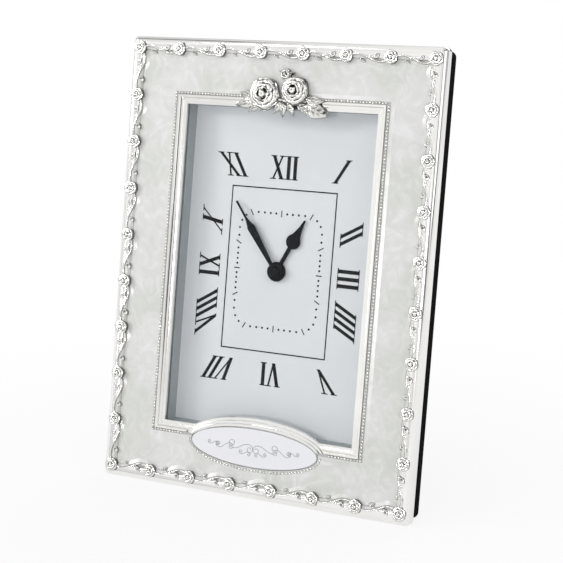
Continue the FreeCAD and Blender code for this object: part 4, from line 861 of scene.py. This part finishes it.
def straight_beads():
    """Beads along the four straight sides, but not where the oval plate stands."""
    arch = [half + ARCH_WIDTH for half in PLAQUE_HALF]
    places = []
    for axis in (0, 1):
        count = round(2 * BEAD_LINE[axis] / BEAD_PITCH)
        for step in range(count):
            along = BEAD_LINE[axis] * (2 * step / count - 1)
            for sign in (1, -1):
                out = sign * BEAD_LINE[1 - axis]
                x, z = (along, out) if axis == 0 else (-out, along)
                if (x / arch[0]) ** 2 + ((z - PLAQUE_MIDDLE_Z) / arch[1]) ** 2 > 1:
                    places.append((x, z))
    return places


def oval_beads():
    """Beads round the part of the oval plate that stands clear of the moulding."""
    places = []
    for step in range(OVAL_STEPS):
        angle = math.pi + math.pi * step / OVAL_STEPS
        x = (PLAQUE_HALF[0] + OVAL_GAP) * math.cos(angle)
        z = PLAQUE_MIDDLE_Z + (PLAQUE_HALF[1] + OVAL_GAP) * math.sin(angle)
        if z <= OVAL_BEADS_UNDER and not (places and math.dist((x, z), places[-1]) < BEAD_PITCH):
            places.append((x, z))
    return places


bead_spots = [((x, ENAMEL_FRONT, z), 0.0, 1.0) for x, z in straight_beads() + oval_beads()]
scatter("moulding_beads", bead_shape(), bead_spots, CAST_SILVER)

# %% [markdown]
# ## The cluster of roses
# Two full roses, a bud and their leaves are cast in one over the window's top edge. Each one
# is a relief with more bands of petals than a small rose has, and they overlap as a bunch does.

# %% Cluster
CLUSTER_SEAT = face_box("rose_cluster")[1].y
LEAF_RISE, LEAF_LAYER = 2.2, 0.12
FLOWERS = [
    # across and up from the window's edge, radius, rise, petal bands, turn
    (-6.9, 6.0, 7.0, 4.9, 4.4, 0.3),
    (7.9, 8.2, 6.2, 4.9, 4.2, 1.7),
    (2.9, 15.2, 2.5, 3.4, 2.3, 0.9),
]
LEAVES = [
    # stem across and up from the window's edge, length, width, heading in degrees
    (-11.5, 2.4, 10.5, 5.0, 190),
    (-11.0, 4.2, 9.0, 4.4, 165),
    (-9.5, 1.2, 6.5, 3.2, 215),
    (1.6, 3.6, 7.6, 3.6, 238),
    (2.6, 3.0, 7.4, 3.6, 268),
    (4.4, 3.2, 7.4, 3.4, 300),
    (11.6, 2.2, 14.0, 7.6, 340),
    (10.0, 3.0, 9.0, 4.2, 318),
    (12.5, 4.6, 10.0, 4.6, 356),
    (1.4, 15.6, 2.6, 1.8, 150),
    (4.4, 15.4, 2.8, 1.8, 15),
]


def set_by_window(work, mesh, x, depth, up, turn):
    """Adds a flower or a leaf to the bunch, turned, at its place over the window's edge."""
    place = Matrix.Translation((x, depth, WINDOW_HALF[1] + up))
    mesh.transform(place @ Matrix.Rotation(turn, 4, "Y"))
    work.from_mesh(mesh)


def cluster():
    """Joins the flowers and the leaves of the bunch in one mesh."""
    work = bmesh.new()
    for x, up, radius, rise, bands, turn in FLOWERS:
        mesh = rose_shape("flower", radius, rise, bands, shade=1.6, rings=36, around=96)
        set_by_window(work, mesh, x, CLUSTER_SEAT, up, turn)
    for index, (x, up, length, width, heading) in enumerate(LEAVES):
        mesh = leaf_shape("leaf", length, width, LEAF_RISE, veins=5, rings=14, around=56)
        mesh.transform(Matrix.Translation((LEAF_MIDDLE * length, 0, 0)))
        depth = CLUSTER_SEAT - LEAF_LAYER * (index % 3)
        set_by_window(work, mesh, x, depth, up, -math.radians(heading))
    piece = trim(mesh_of(work, "rose_bunch"), "rose_bunch", "polished_silver", CAST_SILVER)
    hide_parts("rose_cluster")


cluster()

# %% [markdown]
# ## The oval plate's ornament
# The plate carries a fine engraved line and a small scroll of leaves, both generic. Strokes
# swept along curves make them, with their depth set just proud of the plate.

# %% Engraved line and scroll
ENGRAVED = grained("engraving", (0.20, 0.20, 0.21), (0.30, 0.30, 0.31), 2.0, 0.01, 0.5)
LINE_INSET, LINE_RADIUS, CURL_RADIUS, STROKE_SIDES = 0.25, 0.10, 0.12, 6
# The curls on one side: across and up from the plate's middle, size, and tilt in degrees
CURLS = ((6.2, 0.2, 6.4, -30), (14.6, -0.4, 4.6, -38), (20.4, 0.0, 2.8, -32),
         (4.0, -2.6, 3.0, 150))


def oval_line(steps=120):
    """A closed line inside the plate's edge."""
    half = [reach - LINE_INSET for reach in PLAQUE_HALF]
    angles = [2 * math.pi * step / steps for step in range(steps)]
    return [(half[0] * math.cos(angle), PLATE_FRONT,
             PLAQUE_MIDDLE_Z + half[1] * math.sin(angle)) for angle in angles]


def scroll(side, x, z, size, tilt, reach=2.3, steps=90):
    """A double curl: its bend grows evenly from the middle, so both ends wind in."""
    point, half = Vector((0, 0)), []
    for step in range(steps):
        bend = math.pi / 2 * (reach * step / steps) ** 2
        half.append(point.copy())
        point += Vector((math.cos(bend), math.sin(bend))) * size * reach / steps
    run = [-place for place in reversed(half[1:])] + half
    turn = Matrix.Rotation(math.radians(tilt), 2)
    placed = [turn @ place + Vector((x, z)) for place in run]
    return [(side * place.x, PLATE_FRONT, PLAQUE_MIDDLE_Z + place.y) for place in placed]


strokes = [scroll(side, *curl) for side in (-1, 1) for curl in CURLS]
sweep("plate_line", [oval_line()], LINE_RADIUS, STROKE_SIDES, ENGRAVED, closed=True)
sweep("plate_scroll", strokes, CURL_RADIUS, STROKE_SIDES, ENGRAVED)

# %% [markdown]
# ## Printing the dial
# The numerals are built from strokes, as a sign writer draws them: thick and thin legs closed
# by small feet. Each numeral stands on the side of the dial that it belongs to, reads outward
# and leans along its own ray from the centre, so a shear does what a slanted font would.

# %% Strokes of the numerals
NUMERAL_FOOT, NUMERAL_HEIGHT = (42.0, 29.8), 10.8
THICK, THIN, SERIF, SERIF_LONG = 1.75, 0.9, 0.5, 3.05
LETTER_WIDTH = {"I": 3.3, "V": 7.0, "X": 7.6}
V_POINT, V_HALF, X_HALF = 0.2, 2.3, 2.2
PRINT_DEPTH, PRINT_THICKNESS = DIAL_FRONT - 0.03, 0.02


def leg(low, high, width):
    """A leg from the numeral's foot to its top, cut level at both ends."""
    half = width / 2
    return [(low - half, 0), (low + half, 0),
            (high + half, NUMERAL_HEIGHT), (high - half, NUMERAL_HEIGHT)]


def serif(x, high):
    """The small foot that closes a leg, at its bottom or its top."""
    low, half = NUMERAL_HEIGHT - SERIF if high else 0, SERIF_LONG / 2
    return [(x - half, low), (x + half, low), (x + half, low + SERIF), (x - half, low + SERIF)]


LETTERS = {
    "I": [leg(0, 0, THICK), serif(0, False), serif(0, True)],
    "V": [leg(V_POINT, -V_HALF, THICK), leg(V_POINT, V_HALF, THIN)]
         + [serif(x, True) for x in (-V_HALF, V_HALF)],
    "X": [leg(X_HALF, -X_HALF, THICK), leg(-X_HALF, X_HALF, THIN)]
         + [serif(x, high) for high in (False, True) for x in (-X_HALF, X_HALF)],
}
# Each numeral with its side, counted clockwise from the top, and its middle along that side
NUMERALS = (
    ("XII", 0, -0.4), ("I", 0, 28.3), ("II", 1, 19.7), ("III", 1, -0.2), ("IIII", 1, -19.3),
    ("V", 2, 27.4), ("VI", 2, 0.2), ("VII", 2, -26.3), ("VIII", 3, -21.6), ("IX", 3, 0.2),
    ("X", 3, 21.1), ("XI", 0, -26.6),
)


def numeral(text):
    """All strokes of a numeral, centred, with its letters close together."""
    start = -sum(LETTER_WIDTH[sign] for sign in text) / 2
    strokes = []
    for sign in text:
        middle = start + LETTER_WIDTH[sign] / 2
        strokes += [[(x + middle, z) for x, z in stroke] for stroke in LETTERS[sign]]
        start += LETTER_WIDTH[sign]
    return strokes


def numeral_place(side, middle, across, up):
    """Where a point of a numeral lies on the dial: up runs outward from the centre."""
    foot = NUMERAL_FOOT[side % 2]
    reach = foot + up
    slide = middle * reach / (foot + NUMERAL_HEIGHT / 2)
    return ((slide + across, reach), (reach, slide - across),
            (slide - across, -reach), (-reach, slide + across))[side]


def printed(name, outlines):
    """A layer of print on the dial: thin plates with the given outlines."""
    work = bmesh.new()
    for points in outlines:
        front, back = [[work.verts.new((x, PRINT_DEPTH + under, z)) for x, z in points]
                       for under in (0.0, PRINT_THICKNESS)]
        work.faces.new(front)
        work.faces.new(back[::-1])
        for step in range(len(points)):
            after = (step + 1) % len(points)
            work.faces.new((front[step], front[after], back[after], back[step]))
    bmesh.ops.recalc_face_normals(work, faces=work.faces)
    return trim(mesh_of(work, name), name, "dial_card", PRINT_INK)


printed("dial_numerals", [[numeral_place(side, middle, across, up) for across, up in stroke]
                          for text, side, middle in NUMERALS for stroke in numeral(text)])

# %% [markdown]
# ## The minute track
# A thin box frames the track. Inside it sixty marks stand where the clock's rays meet a
# rectangle with round corners: a tick along each hour's ray and a dot on each minute between.

# %% Box, ticks and dots
BOX_LOW, BOX_HIGH, BOX_LINE = (-25.9, -37.3), (26.7, 37.6), 0.6
TRACK_HALF, TRACK_ROUND = (20.8, 26.4), 8.0
DOT_RADIUS, TICK_LONG, TICK_WIDE = 0.52, 3.0, 0.5
MINUTES, TICK_EVERY, HALVINGS = 60, 5, 40


def bar(start, end, width):
    """A straight stroke between two places on the dial."""
    along = end - start
    side = Vector((-along.y, along.x)).normalized() * width / 2
    return [start - side, end - side, end + side, start + side]


def minute_angle(minute):
    """The angle of a minute's ray, clockwise from the top."""
    return 2 * math.pi * minute / MINUTES


def track_point(minute):
    """Where a minute's ray meets the round-cornered track."""
    x, z = math.sin(minute_angle(minute)), math.cos(minute_angle(minute))
    low, high = 0.0, 2 * max(TRACK_HALF)
    for _ in range(HALVINGS):
        middle = (low + high) / 2
        beyond = [max(abs(value) * middle - half + TRACK_ROUND, 0.0)
                  for value, half in zip((x, z), TRACK_HALF)]
        low, high = (low, middle) if math.hypot(*beyond) > TRACK_ROUND else (middle, high)
    return x * low, z * low


corners = [Vector(corner) for corner in (BOX_LOW, (BOX_HIGH[0], BOX_LOW[1]), BOX_HIGH,
                                         (BOX_LOW[0], BOX_HIGH[1]))]
box_bars = []
for start, end in zip(corners, corners[1:] + corners[:1]):
    longer = (end - start).normalized() * BOX_LINE / 2
    box_bars.append(bar(start - longer, end + longer, BOX_LINE))
printed("dial_box", box_bars)

dot = relief("dot", circle(DOT_RADIUS), lambda share, angle: PRINT_THICKNESS,
             lambda share, angle: 0.0, rings=1, around=12)
dot_spots = []
for minute in range(MINUTES):
    if minute % TICK_EVERY:
        x, z = track_point(minute)
        dot_spots.append(((x, PRINT_DEPTH + PRINT_THICKNESS, z), minute_angle(minute), 1.0))
scatter("minute_dots", dot, dot_spots, PRINT_INK, "dial_card")

tick_bars = []
for minute in range(0, MINUTES, TICK_EVERY):
    middle = Vector(track_point(minute))
    half = middle.normalized() * TICK_LONG / 2
    tick_bars.append(bar(middle - half, middle + half, TICK_WIDE))
printed("hour_ticks", tick_bars)

# %% [markdown]
# ## Light, floor and camera
# The floor and the room are white, so polished silver has something pale to show, with darker
# bands that draw its edges. Soft lamps light the face from the left, the front and the right,
# and one stands behind. The camera stands where the photograph was taken, a little above the
# clock and to its right, with a long lens.

# %% Floor
FLOOR_REACH, SHADOW_START, SHADOW_END = 30.0, 0.05, 0.30
WHITE_AT_CLOCK, WHITE_FOR_GLOSS = 0.86, 0.8
WHITE_LIGHT = (1.0, 1.0, 1.0, 1.0)


def floor():
    """A pale floor that keeps the clock's shadow near it and goes white further out."""
    mesh = bpy.data.meshes.new("floor")
    corners = [(x * FLOOR_REACH, y * FLOOR_REACH, 0)
               for x, y in ((-1, -1), (1, -1), (1, 1), (-1, 1))]
    mesh.from_pydata(corners, [], [(0, 1, 2, 3)])
    finish = Finish("pale_floor")
    mesh.materials.append(finish.surface(Base_Color=(0.80, 0.80, 0.80), Roughness=0.8))
    lit = Value(finish, finish.shader.outputs[0])
    white = finish.add("Emission", {}, {"Color": WHITE_LIGHT, "Strength": 1.0})
    place = finish.add("TexCoord").output("Object")
    far = finish.add("VectorMath", {"operation": "LENGTH"}, {0: place}, output="Value")
    whiteness = finish.spread(far, SHADOW_START, SHADOW_END, WHITE_AT_CLOCK, 1.0)
    rays = finish.add("LightPath")
    seen = rays.output("Is Camera Ray").most(rays.output("Is Glossy Ray") * WHITE_FOR_GLOSS)
    mixed = finish.add("MixShader", {}, {0: whiteness * seen, 1: lit, 2: white})
    finish.feed(finish.tree.nodes["Material Output"].inputs["Surface"], mixed)
    piece = add_object("floor", mesh)


floor()

# %% World and lamps
FLAT_MIRROR = Vector((-0.436, -0.895, 0.094))
DARK_WALL = (0.06, 0.06, 0.06)
BANDS = ((0.40, DARK_WALL), (0.46, (0.45, 0.45, 0.46)), (0.52, (0.92, 0.92, 0.92)))
DARK_SIDE = ((0.50, WHITE), (0.60, DARK_WALL), (0.74, (0.10, 0.10, 0.10)), (0.84, WHITE))
PANE_START, PANE_END = -0.54, -0.38
PANE_DIM, PANE_BRIGHT = (0.76, 0.76, 0.77), (1.0, 1.0, 0.99)


def world():
    """A room of soft light: the camera sees white, and silver sees white with darker bands."""
    room = bpy.data.worlds.new("studio")
    room.use_nodes = True
    bpy.context.scene.world = room
    studio = Nodes(room.node_tree)
    studio.tree.nodes.clear()
    heading = studio.add("TexCoord").output("Generated")
    rightward = studio.add("SeparateXYZ", {}, {0: heading}).output("X")
    cloud = studio.add("TexNoise", {}, {"Vector": heading, "Scale": 2.3, "Detail": 2.0})
    toward = studio.add("VectorMath", {"operation": "DOT_PRODUCT"}, {0: heading, 1: FLAT_MIRROR},
                        output="Value")
    near_mirror = studio.ramp(toward, (0.80, BLACK), (0.93, WHITE))
    pane = studio.spread(rightward, PANE_START, PANE_END, 0.0, 1.0)
    mirrored = studio.blend(near_mirror, studio.ramp(cloud, *BANDS),
                            studio.blend(pane, PANE_DIM, PANE_BRIGHT))
    mirrored = studio.blend(1.0, mirrored, studio.ramp(rightward, *DARK_SIDE), kind="MULTIPLY")
    soft, shiny, white = [studio.add("Background", {}, {"Color": colour, "Strength": strength})
                          for colour, strength in (((0.97, 0.98, 1.0, 1.0), 0.52),
                                                   (mirrored, 1.0), (WHITE_LIGHT, 1.0))]
    rays = studio.add("LightPath")
    seen = rays.output("Is Camera Ray").most(rays.output("Is Transmission Ray"))
    lit = studio.add("MixShader", {}, {0: rays.output("Is Glossy Ray"), 1: soft, 2: shiny})
    behind = studio.add("MixShader", {}, {0: seen, 1: lit, 2: white})
    studio.add("OutputWorld", {}, {"Surface": behind})


world()

LAMPS = {
    # name: place, size, power and colour of a soft square lamp
    "key_lamp": ((-1.05, -0.78, 0.55), 0.42, 6.3, (1.0, 0.99, 0.97)),
    "top_lamp": ((-0.55, -0.95, 0.80), 0.20, 1.6, (1.0, 1.0, 1.0)),
    "front_lamp": ((0.10, -1.25, 0.26), 0.16, 3.2, (1.0, 1.0, 1.0)),
    "fill_lamp": ((1.0, -0.5, 0.6), 0.8, 1.6, (0.97, 0.98, 1.0)),
    "back_lamp": ((0.2, 1.1, 0.8), 0.7, 5.0, (1.0, 1.0, 1.0)),
}
for name, (place, size, power, colour) in LAMPS.items():
    light = bpy.data.lights.new(name, "AREA")
    light.shape, light.size, light.energy, light.color = "SQUARE", size, power, colour
    holder = add_object(name, light)
    holder.location = place
    holder.rotation_euler = (WINDOW_MIDDLE - Vector(place)).to_track_quat("-Z", "Y").to_euler()

# %% Camera
FOCAL_PIXELS, IMAGE_PIXELS, SENSOR = 1545.0, 563.0, 36.0
CAMERA_FROM_WINDOW = Vector((304.0, -608.0, 152.0)) * MM
AZIMUTH, ELEVATION = math.radians(26.07), math.radians(12.95)

lens = bpy.data.cameras.new("camera")
lens.sensor_width = SENSOR
lens.lens = FOCAL_PIXELS / IMAGE_PIXELS * SENSOR
camera = add_object("camera", lens)
camera.location = WINDOW_MIDDLE + CAMERA_FROM_WINDOW
forward = Vector((-math.sin(AZIMUTH) * math.cos(ELEVATION),
                  math.cos(AZIMUTH) * math.cos(ELEVATION), -math.sin(ELEVATION)))
camera.rotation_euler = forward.to_track_quat("-Z", "Y").to_euler()
bpy.context.scene.camera = camera
bpy.context.scene.view_settings.view_transform = "Standard"
print("lens in mm:", round(lens.lens, 1))
